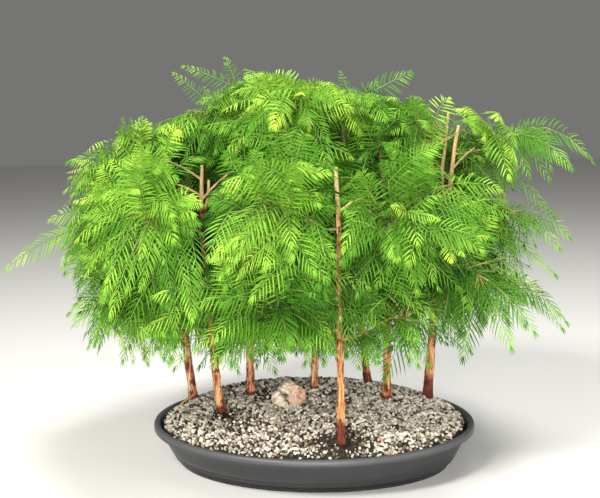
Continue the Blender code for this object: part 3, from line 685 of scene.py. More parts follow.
bright_bark = peeling_bark("orange bark", ((0.18, 0.050, 0.020), (0.42, 0.142, 0.050), (0.65, 0.285, 0.105),
                                           (0.80, 0.480, 0.220), (0.92, 0.740, 0.470)), 0.510)
dull_bark = peeling_bark("brown bark", ((0.15, 0.044, 0.026), (0.38, 0.132, 0.064), (0.64, 0.275, 0.130),
                                        (0.85, 0.500, 0.275), (0.97, 0.820, 0.620)), 0.510)
cut_wood, nodes, links, shader = new_material("cut wood", 0.8, 0.3)
noise_colour(nodes, links, shader, ((0.3, (0.48, 0.33, 0.18)), (0.7, (0.68, 0.52, 0.32))), 500.0, 3.0)

limb_lines = []


def remember(path, radii):
    for k in range(len(path) - 1):
        limb_lines.append((np.array(path[k]), np.array(path[k + 1]), max(radii[k], radii[k + 1])))


for number, tree in enumerate(TREES):
    tree["seat"] = mound_height(*tree["foot"]) + GAP
    levels = np.linspace(tree["seat"], tree["tip"], 16)
    path = np.array([trunk_axis(tree, level) for level in levels])
    remember(path, [trunk_radius(tree, level) for level in levels])
    levels = np.append(np.arange(tree["seat"], tree["tip"], 0.002), tree["tip"])
    path = np.array([trunk_axis(tree, level) for level in levels])
    radii = [trunk_radius(tree, level) for level in levels]
    bark = bright_bark if tree["name"] in BRIGHT_TREES else dull_bark
    name = "bark_trunk_" + tree["name"]
    slim = SLIM_TIPS.get(tree["name"], 0.0)
    bars = [bark_limb(name, path, radii, BARK_SIDES, 0.00062, 10.0 * number, bark, 0.13, slim=slim)]
    if tree["name"] in FORKS:
        second = np.array(fork_path(tree))
        second_radii = [trunk_radius(tree, p[2]) * mix(0.78, 0.60, k / 4) for k, p in enumerate(second)]
        bars.append(bark_limb("leader", second, second_radii, 20, 0.0004, 10.0 * number + 5, bark))
        remember(second, second_radii)
    if tree["name"] == "left":
        bars.append(bark_limb("root", SURFACE_ROOT, np.linspace(0.0021, 0.0009, 5), 10, 0.0003, 95.0, bark))
    for bar in bars:
        rises = np.array([vertex.co.z for vertex in bar.data.vertices])
        # A longer straw zone on the listed trees is painted light; the short one at every tip is the young bark's own
        # colour.
        zone = 0.110 if tree["name"] in PAINTED_LIT_TOPS else 0.060
        young = np.clip((rises - tree["tip"] + zone) / zone * 2.0, 0.0, 1.0)
        old = np.clip((rises - tree["seat"] + 0.001) / OLD_FOOT.get(tree["name"], 0.012), 0.0, 1.0)
        set_values(bar, "age", np.full(len(rises), 0.8) if bar.name.startswith("root") else 0.5 * old + 0.5 * young)
    place(joined(bars), "bark", "trunk_" + tree["name"])

SHREDS_PER_TREE = 34
shred_store = ([], [])
for number, tree in enumerate(TREES):
    dice = random.Random(500 + number)
    for _ in range(SHREDS_PER_TREE):
        height = mix(tree["seat"] + 0.006, tree["tip"] - 0.06, dice.random() ** 1.3)
        turn = dice.uniform(0.0, 2.0 * math.pi)
        out = np.array([math.cos(turn), math.sin(turn), 0.0])
        along = np.array([0.0, 0.0, dice.choice((-1.0, 1.0, 1.0))])
        length = dice.uniform(0.004, 0.010)
        lift = dice.uniform(0.10, 0.45)
        root = trunk_axis(tree, height) + out * (trunk_radius(tree, height) - 0.0001)
        path = [root + along * length * s + out * lift * length * s * s for s in (0.0, 0.35, 0.7, 1.0)]
        append(shred_store, *thin_tube(path, (0.0005, 0.00045, 0.0003, 0.0001), 3))
shreds = mesh_piece("bark_shreds", shred_store[0], shred_store[1], dull_bark)
set_values(shreds, "age", np.full(len(shred_store[0]), 0.5))
place(shreds, "bark", *[n for n in CAD_NODES if n.startswith("trunk_")])

# Boughs
# Slim side limbs, one from each place where a tree carries foliage, straw to
# orange-brown, leaving the trunk level and rising a little to their tips.


def clearance(samples, lines):
    samples = np.asarray(samples, float)
    best = 1.0
    for start, end, radius in lines:
        along = end - start
        share = np.clip(((samples - start) @ along) / max(along @ along, 1e-12), 0.0, 1.0)
        gap = np.linalg.norm(samples - (start + share[:, None] * along), axis=1) - radius
        best = min(best, float(gap.min()))
    return best


def spots_along(path, count):
    path = np.asarray(path, float)
    spots = [mix(path[k], path[k + 1], i / count) for k in range(len(path) - 1) for i in range(count)]
    return np.array(spots + [path[-1]])


STICKS = (
    ("front_left", 0.350, 192, 0.55, 0.052),
    ("front_left", 0.331, 188, 0.45, 0.040),
    ("front_left", 0.326, 352, 0.85, 0.056),
    ("front_left", 0.283, 205, -0.33, 0.088),
    ("right", 0.352, 335, 0.95, 0.040),
    ("right", 0.338, 190, 1.30, 0.030),
    ("middle_right", 0.345, 205, 0.55, 0.030),
    ("front", 0.318, 352, 0.60, 0.034),
    ("middle", 0.372, 350, 3.50, 0.066),
    ("back", 0.398, 20, 2.50, 0.030),
)
masses = []
bough_bars = []
for number, tree in enumerate(TREES):
    for order, (heading, height, reach) in enumerate(tree["limbs"]):
        middle = trunk_axis(tree, height)
        radius = trunk_radius(tree, height - 0.003)
        own = dict(name="%s_%s" % (tree["name"], "abcde"[order]), bough=False)
        for trial in range(13):
            swing = math.radians(heading + 6.0 * ((trial + 1) // 2) * (-1) ** trial)
            away = np.array([math.cos(swing), math.sin(swing), 0.0])
            root = middle + away * (radius - 0.0008)
            own["centre"] = middle + away * reach + np.array([0.0, 0.0, 0.022])
            if reach < SHORT_REACH:
                own.update(start=root, facing=away)
                break
            length = reach * 0.56
            path = [root + away * length * s + np.array([0.0, 0.0, 0.020 * s * s]) for s in np.linspace(0, 1, 9)]
            radii = [mix(0.0023, 0.0015, s) for s in np.linspace(0, 1, 9)]
            if clearance(spots_along(path, 2)[5:], limb_lines) > 0.0035:
                own.update(start=path[-1], facing=unit(path[-1] - path[-2]), bough=True, path=path)
                break
        if own["bough"]:
            bar = bark_limb("bough", path, radii, 12, 0.00022, 200.0 + 3 * len(masses), dull_bark)
            set_values(bar, "age", np.full(len(bar.data.vertices), 0.68))
            bough_bars.append(bar)
            remember(path, radii)
        masses.append(own)
stick_paths = []
for name, height, heading, rise, length in STICKS:
    tree = next(t for t in TREES if t["name"] == name)
    turn = math.radians(heading)
    way = unit(np.array([math.cos(turn), math.sin(turn), rise]))
    root = trunk_axis(tree, height)
    path = [root + way * length * s + np.array([0.0, 0.0, 0.06 * length * math.sin(math.pi * s)]) for s in np.linspace(0, 1, 5)]
    bar = bark_limb("stick", path, np.linspace(0.0015, 0.0009, 5), 8, 0.0001, 300.0 + heading, bright_bark)
    set_values(bar, "age", np.full(len(bar.data.vertices), 0.98))
    bough_bars.append(bar)
    if name in ("front_left", "right"):
        stick_paths.append(path)
    remember(path[1:], [0.0012] * 4)
boughs = joined(bough_bars)
boughs.name = "boughs"
place(boughs, "bark", *[n for n in CAD_NODES if n.startswith("bough_")])
centres = np.array([own["centre"] for own in masses])

# Twigs and needles
# Every limb ends in a spray of straw-coloured twigs whose soft fronds carry
# flat needles in two rows: darker green deep inside the crown, painted shade, and lighter at the rim and on top,
# painted light; yellow-green on the fresh tips.
SHOOTS = {
    "left_a": ((189, -0.20, 0.125, 0.30), (168, 0.40, 0.080, 0.40)),
    "left_b": ((200, 0.10, 0.070, 0.40),),
    "left_c": ((186, 0.45, 0.090, 0.35),),
    "middle_left_a": ((165, 0.95, 0.082, 0.10),),
    "back_c": ((355, 0.62, 0.078, 0.10), (120, 1.40, 0.055, 0.10)),
    "middle_right_b": ((15, 0.50, 0.085, 0.30),),
    "right_a": ((352, 0.36, 0.102, 0.75), (322, 0.10, 0.070, 0.60)),
    "right_b": ((350, 0.10, 0.070, 0.60), (318, -0.10, 0.070, 0.50)),
    "right_c": ((345, 0.00, 0.080, 0.60), (10, 0.20, 0.075, 0.80)),
    "middle_right_a": ((322, -0.45, 0.075, 0.35),),
}
HANGING = {
    "front_a": ((200, -0.50, 0.065, 0.30),),
    "front_c": ((235, -0.60, 0.060, 0.30),),
    "middle_right_a": ((300, -0.90, 0.080, 0.20), (250, -1.30, 0.090, 0.10)),
    "right_a": ((318, 0.10, 0.085, 0.60),),
}
CLOTHED_BOUGHS = ("front_a", "front_c")
BOUGH_FACE = unit((0.0, -1.0, 0.5))
SPRIGS = (
    ("left", 0.172, 350, -1.00, 0.056, 0.2),
    ("left", 0.182, 200, -0.90, 0.062, 0.2),
    ("front_left", 0.182, 185, -2.20, 0.062, 0.1),
    ("front_left", 0.186, 350, -1.70, 0.058, 0.1),
    ("front_left", 0.236, 300, -1.20, 0.050, 0.2),
    ("front_left", 0.228, 230, -1.20, 0.050, 0.2),
    ("middle_left", 0.170, 192, -2.60, 0.048, 0.1),
    ("middle_left", 0.170, 350, -1.70, 0.056, 0.1),
    ("middle_left", 0.192, 300, -1.50, 0.045, 0.2),
    ("middle", 0.190, 190, -1.60, 0.052, 0.1),
    ("middle", 0.194, 345, -1.30, 0.050, 0.2),
    ("middle_right", 0.194, 290, -2.40, 0.054, 0.1),
    ("middle_right", 0.192, 200, -1.00, 0.044, 0.2),
    ("middle_right", 0.204, 345, -0.90, 0.056, 0.2),
    ("right", 0.378, 350, -0.15, 0.115, 0.55),
    ("right", 0.300, 345, -0.10, 0.125, 0.45),
    ("right", 0.255, 350, -0.15, 0.140, 0.50),
    ("right", 0.225, 350, -0.45, 0.085, 0.2),
    ("right", 0.186, 345, -1.00, 0.056, 0.2),
    ("right", 0.214, 205, -1.30, 0.050, 0.2),
    ("front", 0.290, 348, 0.45, 0.100, 0.9),
    ("front", 0.268, 336, 0.20, 0.098, 0.8),
    ("front", 0.252, 352, 0.35, 0.108, 0.8),
    ("front", 0.300, 194, 0.35, 0.092, 0.9),
    ("front", 0.276, 204, 0.30, 0.104, 0.9),
    ("front", 0.254, 190, 0.25, 0.098, 0.8),
    ("front", 0.232, 332, -0.50, 0.070, 0.3),
    ("front", 0.216, 312, -0.55, 0.060, 0.3),
    ("front", 0.238, 8, -0.35, 0.080, 0.4),
    ("front", 0.208, 350, -0.25, 0.060, 0.3),
    ("front", 0.236, 212, -0.50, 0.075, 0.3),
    ("front", 0.222, 236, -0.60, 0.064, 0.3),
    ("front", 0.212, 196, -0.30, 0.064, 0.3),
    ("back", 0.196, 330, -0.80, 0.050, 0.2),
    ("middle_left", 0.452, 180, 0.62, 0.075, 0.15),
    ("middle", 0.420, 20, 0.90, 0.055, 0.25),
    ("middle_left", 0.350, 205, 0.30, 0.074, 0.4),
    ("middle_left", 0.374, 215, 0.15, 0.066, 0.4),
    ("middle_left", 0.326, 196, 0.25, 0.072, 0.3),
    ("middle_left", 0.390, 200, 0.10, 0.072, 0.5),
    ("left", 0.356, 345, 0.30, 0.070, 0.4),
    ("left", 0.336, 262, 0.55, 0.055, 0.3),
    ("left", 0.350, 300, 0.45, 0.055, 0.4),
    ("left", 0.362, 238, 0.40, 0.050, 0.4),
    ("left", 0.374, 280, 0.60, 0.045, 0.4),
)
CROWN_MIDDLE = np.array([-0.016, 0.0, 0.300])
CROWN_HALF_SIZE = np.array([0.298, 0.230, 0.180])
CROWN_TILT = 0.03
CROWN_FLOOR = 0.140
FLOOR_SLOPE = -0.04
FLOOR_RISE = 0.45
MASS_REACH = 0.128
SIGHT_HALF_WIDTH = 0.0043
TOP_HALF_WIDTH = 0.0042
STICK_HALF_WIDTH = 0.0024
VIEWER = np.array([0.10, -1.07])
VIEWER_HEIGHT = 0.4225
SHOWN = {
    "left": ((0.060, 0.168),),
    "front_left": ((0.060, 0.200), (0.235, 0.370)),
    "middle_left": ((0.060, 0.150),),
    "middle": ((0.060, 0.140), (0.405, 0.425)),
    "front": ((0.060, 0.370),),
    "back": ((0.060, 0.175), (0.410, 0.430)),
    "middle_right": ((0.060, 0.125), (0.315, 0.395)),
    "right": ((0.060, 0.200), (0.345, 0.406)),
}
SPACE_SLACK = 0.028
CROSSING_SHARE = 0.006
CROWN_LIMIT = 0.74
CROWN_PEAKS = ((-0.045, 0.070, 0.15), (0.080, 0.045, -0.20), (0.210, 0.050, 0.20))
LIMIT_SWING = 0.30
FRONT_LIFT = 0.05
LEFT_EDGE = -0.298
THIN_FROM = 0.105
THIN_TO = 0.190
THIN_MOST = 0.90
TWIGS_PER_MASS = 30
TWIG_TRIES = 190
TWIG_LENGTH = 0.072
SPRAY_LENGTH = 0.078
FROND_SHARES = (0.10, 0.32, 0.55, 0.78)
NEEDLE_PITCH = 0.0049
NEEDLE_LENGTH = 0.0225
NEEDLE_WIDTH = 0.00155
DOWN = np.array([0.0, 0.0, -1.0])
FRONT_FACE = np.array([0.0, -1.3, 0.0])
# Tints dealt by place in the crown: the darker ones are painted shade inside, the lighter ones painted light at the
# rim and on top, and also the colour of young growth.
TINTS = {
    "needles_deep_shade": (0.008, 0.038, 0.002),
    "needles_shade": (0.025, 0.095, 0.006),
    "needles_mid": (0.066, 0.205, 0.012),
    "needles_bright": (0.160, 0.355, 0.030),
    "needles_fresh_and_lit": (0.300, 0.515, 0.050),
    "needles_lime": (0.470, 0.650, 0.060),
}
TINT_NAMES = tuple(TINTS)

limb_starts = np.array([line[0] for line in limb_lines])
limb_ways = np.array([line[1] - line[0] for line in limb_lines])
limb_sizes = (limb_ways ** 2).sum(1) + 1e-12
limb_radii = np.array([line[2] for line in limb_lines])


def limb_gap(samples):
    """Smallest distance from sample points to the skins of all limbs."""
    away = samples[:, None, :] - limb_starts[None]
    share = np.clip((away * limb_ways[None]).sum(2) / limb_sizes, 0.0, 1.0)
    away -= share[:, :, None] * limb_ways[None]
    return float((np.sqrt((away ** 2).sum(2)) - limb_radii).min())


def crown_share(samples):
    """Over 1 outside the crown: rounded above, nearly square below."""
    away = samples - CROWN_MIDDLE
    away[:, 2] -= CROWN_TILT * samples[:, 0]
    part = np.abs(away) / CROWN_HALF_SIZE
    power = np.where(away[:, 2] > 0.0, 1.9, 3.2)
    return part[:, 0] ** 2.8 + part[:, 1] ** 2.6 + part[:, 2] ** power


def crown_floor(samples):
    return CROWN_FLOOR + FLOOR_SLOPE * samples[:, 1] + FLOOR_RISE * np.maximum(0.0, samples[:, 0] - 0.13)


def inside_space(index, samples, shoot=False):
    """True where the samples keep to the space nearest to the middle of their own mass."""
    own = centres[index]
    if not shoot:
        if (np.linalg.norm(samples - own, axis=1) > MASS_REACH).any():
            return False
        front = FRONT_LIFT * np.maximum(0.0, -0.04 - samples[:, 1])
        if (samples[:, 2] < crown_floor(samples) + front + 0.004).any():
            return False
        if ((samples[:, 2] < 0.27) & (samples[:, 0] < LEFT_EDGE - 0.28 * np.minimum(0.0, samples[:, 1]))).any():
            return False
        tip = samples[0]
        limit = CROWN_LIMIT + LIMIT_SWING * noise.noise(Vector(tuple(tip * 11.0)))
        limit += sum(gain * math.exp(-((tip[0] - place) / width) ** 2) for place, width, gain in CROWN_PEAKS)
        if crown_share(samples).max() > limit:
            return False
    apart = centres - own
    distance = np.linalg.norm(apart, axis=1)
    distance[index] = 1.0
    depth = (samples - own) @ (apart / distance[:, None]).T
    limit = 0.5 * distance + SPACE_SLACK
    limit[index] = 1.0
    return bool((depth < limit).all())


EYE = np.append(VIEWER, VIEWER_HEIGHT)
sight = unit(np.append(CROWN_MIDDLE[:2] - VIEWER, 0.0))
sight_right = np.array([sight[1], -sight[0], 0.0])


def in_view(points):
    """Where points lie across and up as seen from the front, and how far away."""
    away = np.atleast_2d(points) - EYE
    depth = away @ sight
    return np.stack([away @ sight_right, away[:, 2]], axis=1) / depth[:, None], depth


shown_ends = []
shown_widths = []
for tree in TREES:
    for low, high in SHOWN[tree["name"]]:
        parts = max(1, round((high - low) / 0.06))
        heights = np.linspace(max(low, tree["seat"]), min(high, tree["tip"]), parts + 1)
        line = [trunk_axis(tree, height) for height in heights]
        shown_ends += list(zip(line, line[1:]))
        shown_widths += [SIGHT_HALF_WIDTH if low < 0.1 else TOP_HALF_WIDTH] * parts
    if tree["name"] in FORKS:
        line = fork_path(tree)
        shown_ends += list(zip(line, line[1:]))
        shown_widths += [TOP_HALF_WIDTH] * (len(line) - 1)
shown_ends += [(path[k], path[k + 2]) for path in stick_paths for k in (0, 2)]
shown_widths = np.array(shown_widths + [STICK_HALF_WIDTH] * 2 * len(stick_paths))
shown_starts, start_depths = in_view(np.array([ends[0] for ends in shown_ends]))
shown_tips, tip_depths = in_view(np.array([ends[1] for ends in shown_ends]))
shown_ways = shown_tips - shown_starts
shown_sizes = (shown_ways ** 2).sum(1) + 1e-12
shown_depths = np.minimum(start_depths, tip_depths)


def lane_open(samples):
    """False when a sample hides from the front a limb that shows there."""
    spots, depths = in_view(samples)
    away = spots[:, None, :] - shown_starts[None]
    share = np.clip((away * shown_ways[None]).sum(2) / shown_sizes, 0.0, 1.0)
    away -= share[:, :, None] * shown_ways[None]
    near = np.sqrt((away ** 2).sum(2)) * shown_depths < shown_widths
    return not (near & (depths[:, None] < shown_depths - 0.004)).any()


def outer_face(place):
    """Way that the flat of a frond faces: up and out of the crown."""
    out = unit((place[:2] - CROWN_MIDDLE[:2]) / CROWN_HALF_SIZE[:2])
    return unit(np.array([0.6 * out[0], out[1] - 0.35, 0.70]))


def arch(root, way, length, droop, shares):
    """Points of a line that leaves along a way and droops by its own length's share."""
    shares = np.asarray(shares, float)[:, None]
    return root + way * length * shares + DOWN * droop * length * shares ** 2


def rows_unit(vectors):
    return vectors / np.maximum(np.linalg.norm(vectors, axis=1), 1e-9)[:, None]


needle_blocks = {name: [] for name in TINTS}
twig_store = ([], [])
rachis_store = ([], [])
NEEDLE_FACES = np.array([(0, 2, 1), (1, 2, 4), (1, 4, 3), (3, 4, 5)])


def add_needles(tint, roots, ways, normals, lengths, ahead):
    """One flat pointed blade of four faces for every row, curving down and forward."""
    flat = rows_unit(np.cross(normals, ways))
    reach = lengths[:, None]
    flat = flat * NEEDLE_WIDTH * (0.30 + 0.20 * np.minimum(1.0, reach / NEEDLE_LENGTH))
    sag = (DOWN * 0.30 + ahead * 0.18) * reach
    block = np.zeros((len(roots), 6, 3))
    block[:, 0] = roots
    for first, share, width in ((1, 0.30, 1.0), (3, 0.72, 0.80)):
        middle = roots + ways * reach * share + sag * share * share
        block[:, first] = middle + flat * width
        block[:, first + 1] = middle - flat * width
    block[:, 5] = roots + ways * reach + sag
    needle_blocks[tint].append(block)


def dress_frond(frond, dice):
    """Two rows of needles, short towards the tip, and the green stem of one frond."""
    root, way, face, length, droop, level, reach, pitch, tip_gain = frond
    across = unit(np.cross(way, face))
    count = max(5, int(length / pitch))
    steps = (np.arange(count) + 0.55) / count
    shares = steps * (1.12 - 0.12 * steps)
    middles = arch(root, way, length, droop, shares)
    ahead = rows_unit(way + DOWN * 2 * droop * shares[:, None])
    normals = np.cross(np.broadcast_to(across, ahead.shape), ahead)
    swell = 0.62 + 0.38 * np.minimum(1.0, shares / 0.25)
    taper = 1.0 - 0.72 * np.maximum(0.0, (shares - 0.32) / 0.68) ** 1.25
    sweep = mix(0.40, 0.90, shares ** 1.5)
    hang = dice.uniform(0.05, 0.50)
    grain = np.random.default_rng(dice.randrange(1 << 30))
    for side in (1.0, -1.0):
        turn = sweep + grain.normal(0.0, 0.05, count)
        ways = across * side * np.cos(turn)[:, None] + ahead * np.sin(turn)[:, None]
        ways = ways + DOWN * hang + normals * grain.normal(0.03, 0.07, count)[:, None]
        reaches = reach * swell * taper * grain.uniform(0.90, 1.07, count)
        starts = middles + ahead * pitch * 0.3 * grain.uniform(-1.0, 1.0, count)[:, None]
        for low, high, gain in ((-1.0, 0.68, 0), (0.68, 2.0, tip_gain)):
            chosen = (shares >= low) & (shares < high)
            tint = TINT_NAMES[min(len(TINT_NAMES) - 1, level + gain)]
            add_needles(tint, starts[chosen], rows_unit(ways)[chosen], normals[chosen], reaches[chosen], ahead[chosen])
    end = arch(root, way, length, droop, (1.0, 1.0, 1.0))
    last = np.broadcast_to(unit(way + DOWN * 2 * droop), (3, 3))
    fan = rows_unit(last + across * np.array([[-0.35], [0.0], [0.35]]))
    add_needles(TINT_NAMES[level], end, fan, np.broadcast_to(normals[-1], (3, 3)), np.full(3, reach * 0.34), last)
    path = arch(root, way, length, droop, (0.0, 0.35, 0.70, 1.0))
    append(rachis_store, *thin_tube(path, (0.0006, 0.0005, 0.0004, 0.0002), 3))


def plan_frond(index, root, way, length, droop, dice, reach, bias=0.0, young=False, shoot=False, free=False,
               skin=0.0025):
    """What dress_frond needs, or None where the frond leaves its mass's space or meets a limb."""
    face = outer_face(root + way * 0.5 * length)
    if shoot:
        face = unit(face + FRONT_FACE)
    side = unit(np.cross(way, face))
    tilt = dice.gauss(0.0, 0.12 if shoot else 0.34)
    face = unit(np.cross(side, way) * math.cos(tilt) + side * math.sin(tilt))
    across = unit(np.cross(way, face))
    spine = arch(root, way, length, droop, (1.0, 0.15, 0.35, 0.55, 0.75, 0.9))
    hang = DOWN * reach * 0.2
    samples = np.vstack([spine, spine[1:5] + across * reach * 0.8 + hang, spine[1:5] - across * reach * 0.8 + hang])
    if not free and not inside_space(index, samples, shoot):
        return None
    near = np.vstack([spine, spine[1:5] + across * reach * 0.25, spine[1:5] - across * reach * 0.25])
    if not free and not lane_open(near) and dice.random() > CROSSING_SHARE:
        return None
    if limb_gap(spine) < skin:
        return None
    level, gain = pick_tint(dice, spine[4], bias, young)
    if shoot:
        level, gain = 3 if spine[4][0] < LEFT_EDGE else min(level, 2), 1
    return root, way, face, length, droop, level, reach, NEEDLE_PITCH, gain


def pick_tint(dice, spot, bias, young):
    """Tint of a frond and whether its tip takes the next lighter tint: painted light makes fronds lighter at the rim
    and on top, painted shade darker deep inside; only fronds of mid green or lighter get the lighter tip, always when
    young, else by chance.
    """
    share = float(crown_share(spot[None, :])[0])
    # Painted light and shade: the tint is lighter near the crown's rim and higher up, darker inside and low down; the
    # bias, a random share and the noise vary it.
    light = 0.70 * share + 1.0 * (spot[2] - 0.28) + bias + (0.10 if young else 0.0) + dice.gauss(0.0, 0.10)
    light += 0.30 * noise.noise(Vector(tuple(spot * 14.0)))
    level = sum(light > bound for bound in (0.02, 0.24, 0.52, 0.92))
    return level, 1 if level > 1 and (young or dice.random() < 0.4) else 0


def grow_tip(index, root, way, dice):
    """A tuft of new growth: short fronds of crowded pale needles fanned round the end of a twig."""
    face = outer_face(root)
    across = unit(np.cross(way, face))
    for turn in (0.0, 0.50, -0.50, 1.00, -1.00)[:dice.choice((3, 3, 5))]:
        out = unit(way * math.cos(turn) + across * math.sin(turn) + face * dice.uniform(0.0, 0.25))
        length = dice.uniform(0.032, 0.048) * (1.0 - 0.30 * abs(turn))
        spine = arch(root, out, length, 0.12, (0.5, 1.0))
        if not inside_space(index, spine) or not lane_open(spine) or limb_gap(spine) < 0.0025:
            continue
        level = 3 + (dice.random() < 0.35)
        dress_frond((root, out, face, length, 0.12, level, dice.uniform(0.0095, 0.0135), 0.0030, 1), dice)


def grow_twig(index, spot, way, length, droop, dice, young):
    """A twig with fronds in opposite pairs and one at its end; False where too few have room."""
    across = unit(np.cross(way, outer_face(spot + way * 0.6 * length)))
    bias = dice.gauss(0.0, 0.16)
    fronds = []
    last = 0.0
    for share in FROND_SHARES:
        node = arch(spot, way, length, droop, (share,))[0]
        ahead = unit(way + DOWN * 2 * droop * share)
        for side in (1.0, -1.0):
            out = unit(ahead * dice.uniform(0.60, 1.0) + across * side * dice.uniform(0.65, 0.95)
                       + np.array([0.0, 0.0, dice.uniform(-0.15, 0.30)]))
            for stretch in (1.0, 0.8, 0.6):
                long = SPRAY_LENGTH * mix(1.10, 0.78, share) * stretch * dice.uniform(0.85, 1.15)
                reach = NEEDLE_LENGTH * mix(0.70, 1.0, stretch) * dice.uniform(0.80, 1.1)
                frond = plan_frond(index, node, out, long, dice.uniform(0.20, 0.55), dice, reach, bias)
                if frond:
                    fronds.append(frond)
                    last = share
                    break
    ahead = unit(way + DOWN * 2 * droop)
    end = arch(spot, way, length, droop, (1.0,))[0]
    if not young:
        for stretch in (1.0, 0.8, 0.6):
            long = SPRAY_LENGTH * 1.05 * stretch * dice.uniform(0.85, 1.15)
            reach = NEEDLE_LENGTH * mix(0.8, 1.0, stretch)
            frond = plan_frond(index, end, ahead, long, dice.uniform(0.20, 0.50), dice, reach, bias, True)
            if frond:
                fronds.append(frond)
                last = 1.0
                break
    if len(fronds) < 5:
        return False
    if young:
        last = 1.0
        grow_tip(index, end, unit(ahead + np.array([0.0, 0.0, 0.25])), dice)
    for frond in fronds:
        dress_frond(frond, dice)
    path = arch(spot, way, length, droop, np.linspace(0, last, 6))
    if lane_open(path):
        level, gain = pick_tint(dice, path[3], bias, False)
        face = outer_face(path[2] + (path[4] - path[1]) * 0.5)
        dress_frond((path[1], unit(path[4] - path[1]), face, 0.75 * last * length, 0.1, level, 0.0125, 0.0062, gain), dice)
    append(twig_store, *thin_tube(path, np.linspace(0.0009, 0.00045, 6), 4))
    return True


for index, own in enumerate(masses):
    dice = random.Random(900 + 31 * index)
    centre = own["centre"]
    start = own["start"]
    facing = own["facing"]
    middle = start + facing * 0.5 * np.linalg.norm(centre - start)
    stem = [start - facing * 0.002, start + facing * 0.008, mix(middle, centre, 0.35), centre]
    append(twig_store, *thin_tube(spots_along(stem, 4), np.linspace(0.00145, 0.0009, 13), 6))
    stem_spots = spots_along(stem[1:], 16)
    stem_way = unit(centre - start)
    shoots = [(shoot, False) for shoot in SHOOTS.get(own["name"], ())]
    shoots += [(shoot, True) for shoot in HANGING.get(own["name"], ())]
    for (heading, rise, length, droop), free in shoots:
        turn = math.radians(heading)
        way = unit(np.array([math.cos(turn), math.sin(turn), rise]))
        blade = 0.8 * length
        root = stem_spots[-2] + way * 0.24 * blade
        append(twig_store, *thin_tube(arch(stem_spots[-2], way, 0.24 * blade, 0.0, (0.0, 0.5, 1.0)),
                                      (0.0009, 0.0008, 0.0007), 4))
        reach = 0.0235 if rise < 0.9 else 0.0130
        planned = [plan_frond(index, root, way, blade, droop, dice, reach, -0.12, False, True, free)]
        across = unit(np.cross(way, unit(outer_face(root) + FRONT_FACE)))
        for side in (1.0, -1.0):
            out = unit(way + across * side * 0.42 + DOWN * 0.22)
            planned.append(plan_frond(index, stem_spots[-2], out, blade * 0.62, droop, dice,
                                      0.9 * reach, -0.12, False, True, free))
            if length > 0.09:
                out = unit(way + across * side * 0.55 + DOWN * 0.40)
                planned.append(plan_frond(index, root, out, blade * 0.45, droop, dice,
                                          0.8 * reach, -0.12, False, True, free))
        for frond in planned:
            if frond:
                dress_frond(frond, dice)
    line = np.vstack([own["path"], stem_spots[4::8]]) if own["bough"] else stem_spots[4::8]
    for step in range(2 if own["bough"] else 0, len(line) - 1):
        node = line[step]
        way = unit(line[step + 1] - node)
        across = unit(np.cross(way, (0.0, 0.0, 1.0)))
        clothed = own["name"] in CLOTHED_BOUGHS
        for side in (1.0, -1.0, 0.5) if clothed else (1.0, -1.0):
            rise = dice.uniform(-0.25, 0.25) if clothed else dice.uniform(-0.10, 0.40)
            toward = -0.8 if clothed else 0.0
            out = unit(way * dice.uniform(0.5, 0.9) + across * side + np.array([0.0, toward, rise]))
            long = dice.uniform(0.040, 0.062)
            frond = plan_frond(index, node, out, long, 0.35, dice, 0.32 * long, -0.05, free=True)
            if frond and (clothed or lane_open(frond[0] + frond[1] * long * np.array([[0.3], [0.6], [0.9]]))):
                dress_frond(frond, dice)
    if own["name"] in CLOTHED_BOUGHS:
        for lift in (0.0, 0.0022):
            first, last = own["path"][1] + (0.0, -0.0036, lift), own["path"][-1] + (0.0, -0.0026, lift)
            shoot = (first, unit(last - first), BOUGH_FACE, np.linalg.norm(last - first), 0.03, 2, 0.0165, 0.0040, 1)
            dress_frond(shoot, random.Random(70 + index))
    outward = unit(np.array([centre[0] * 0.8, centre[1] * 0.7, centre[2] - 0.33])) * 0.8
    ways = []
    for i in range(TWIG_TRIES):
        level = 1.0 - 2.0 * (i + 0.5) / TWIG_TRIES
        turn = i * math.pi * (3.0 - math.sqrt(5.0)) + 0.7 * index
        spread = math.sqrt(1.0 - level * level)
        rise = level * 0.75 + (centre[2] - 0.345) * 3.2
        way = np.array([spread * math.cos(turn), spread * math.sin(turn), rise])
        ways.append((-(way @ outward) + dice.uniform(0.0, 0.9), unit(way)))
    ways.sort(key=lambda w: w[0])
    twigs = []
    for _, way in ways:
        if len(twigs) >= TWIGS_PER_MASS:
            break
        if any(way @ old > 0.945 for old in twigs):
            continue
        wanted = 0.70 + 0.30 * float(way @ stem_way)
        for size in (1.0, 0.8, 0.6, 0.45):
            spot = stem_spots[int((len(stem_spots) - 1) * min(0.99, wanted * dice.uniform(0.75, 1.05)))]
            length = TWIG_LENGTH * size * dice.uniform(0.85, 1.15)
            droop = dice.uniform(0.08, 0.38)
            heading = unit(way + np.array([0.0, 0.0, 0.24]))
            line = arch(spot, heading, length, droop, (0.2, 0.4, 0.6, 0.8, 1.0))
            if inside_space(index, line) and limb_gap(line) > 0.0025:
                break
        else:
            continue
        rim = float(crown_share(line[-1:])[0])
        thinned = np.clip((line[-1, 0] - THIN_FROM) / (THIN_TO - THIN_FROM), 0.0, 1.0)
        thinned *= np.clip((0.42 - line[-1, 2]) / 0.06, 0.0, 1.0)
        if dice.random() < THIN_MOST * thinned:
            continue
        young = rim > 0.42 and line[-1, 2] > 0.25 and way @ outward > 0.25 and dice.random() < 0.22
        if grow_twig(index, spot, heading, length, droop, dice, young):
            twigs.append(way)

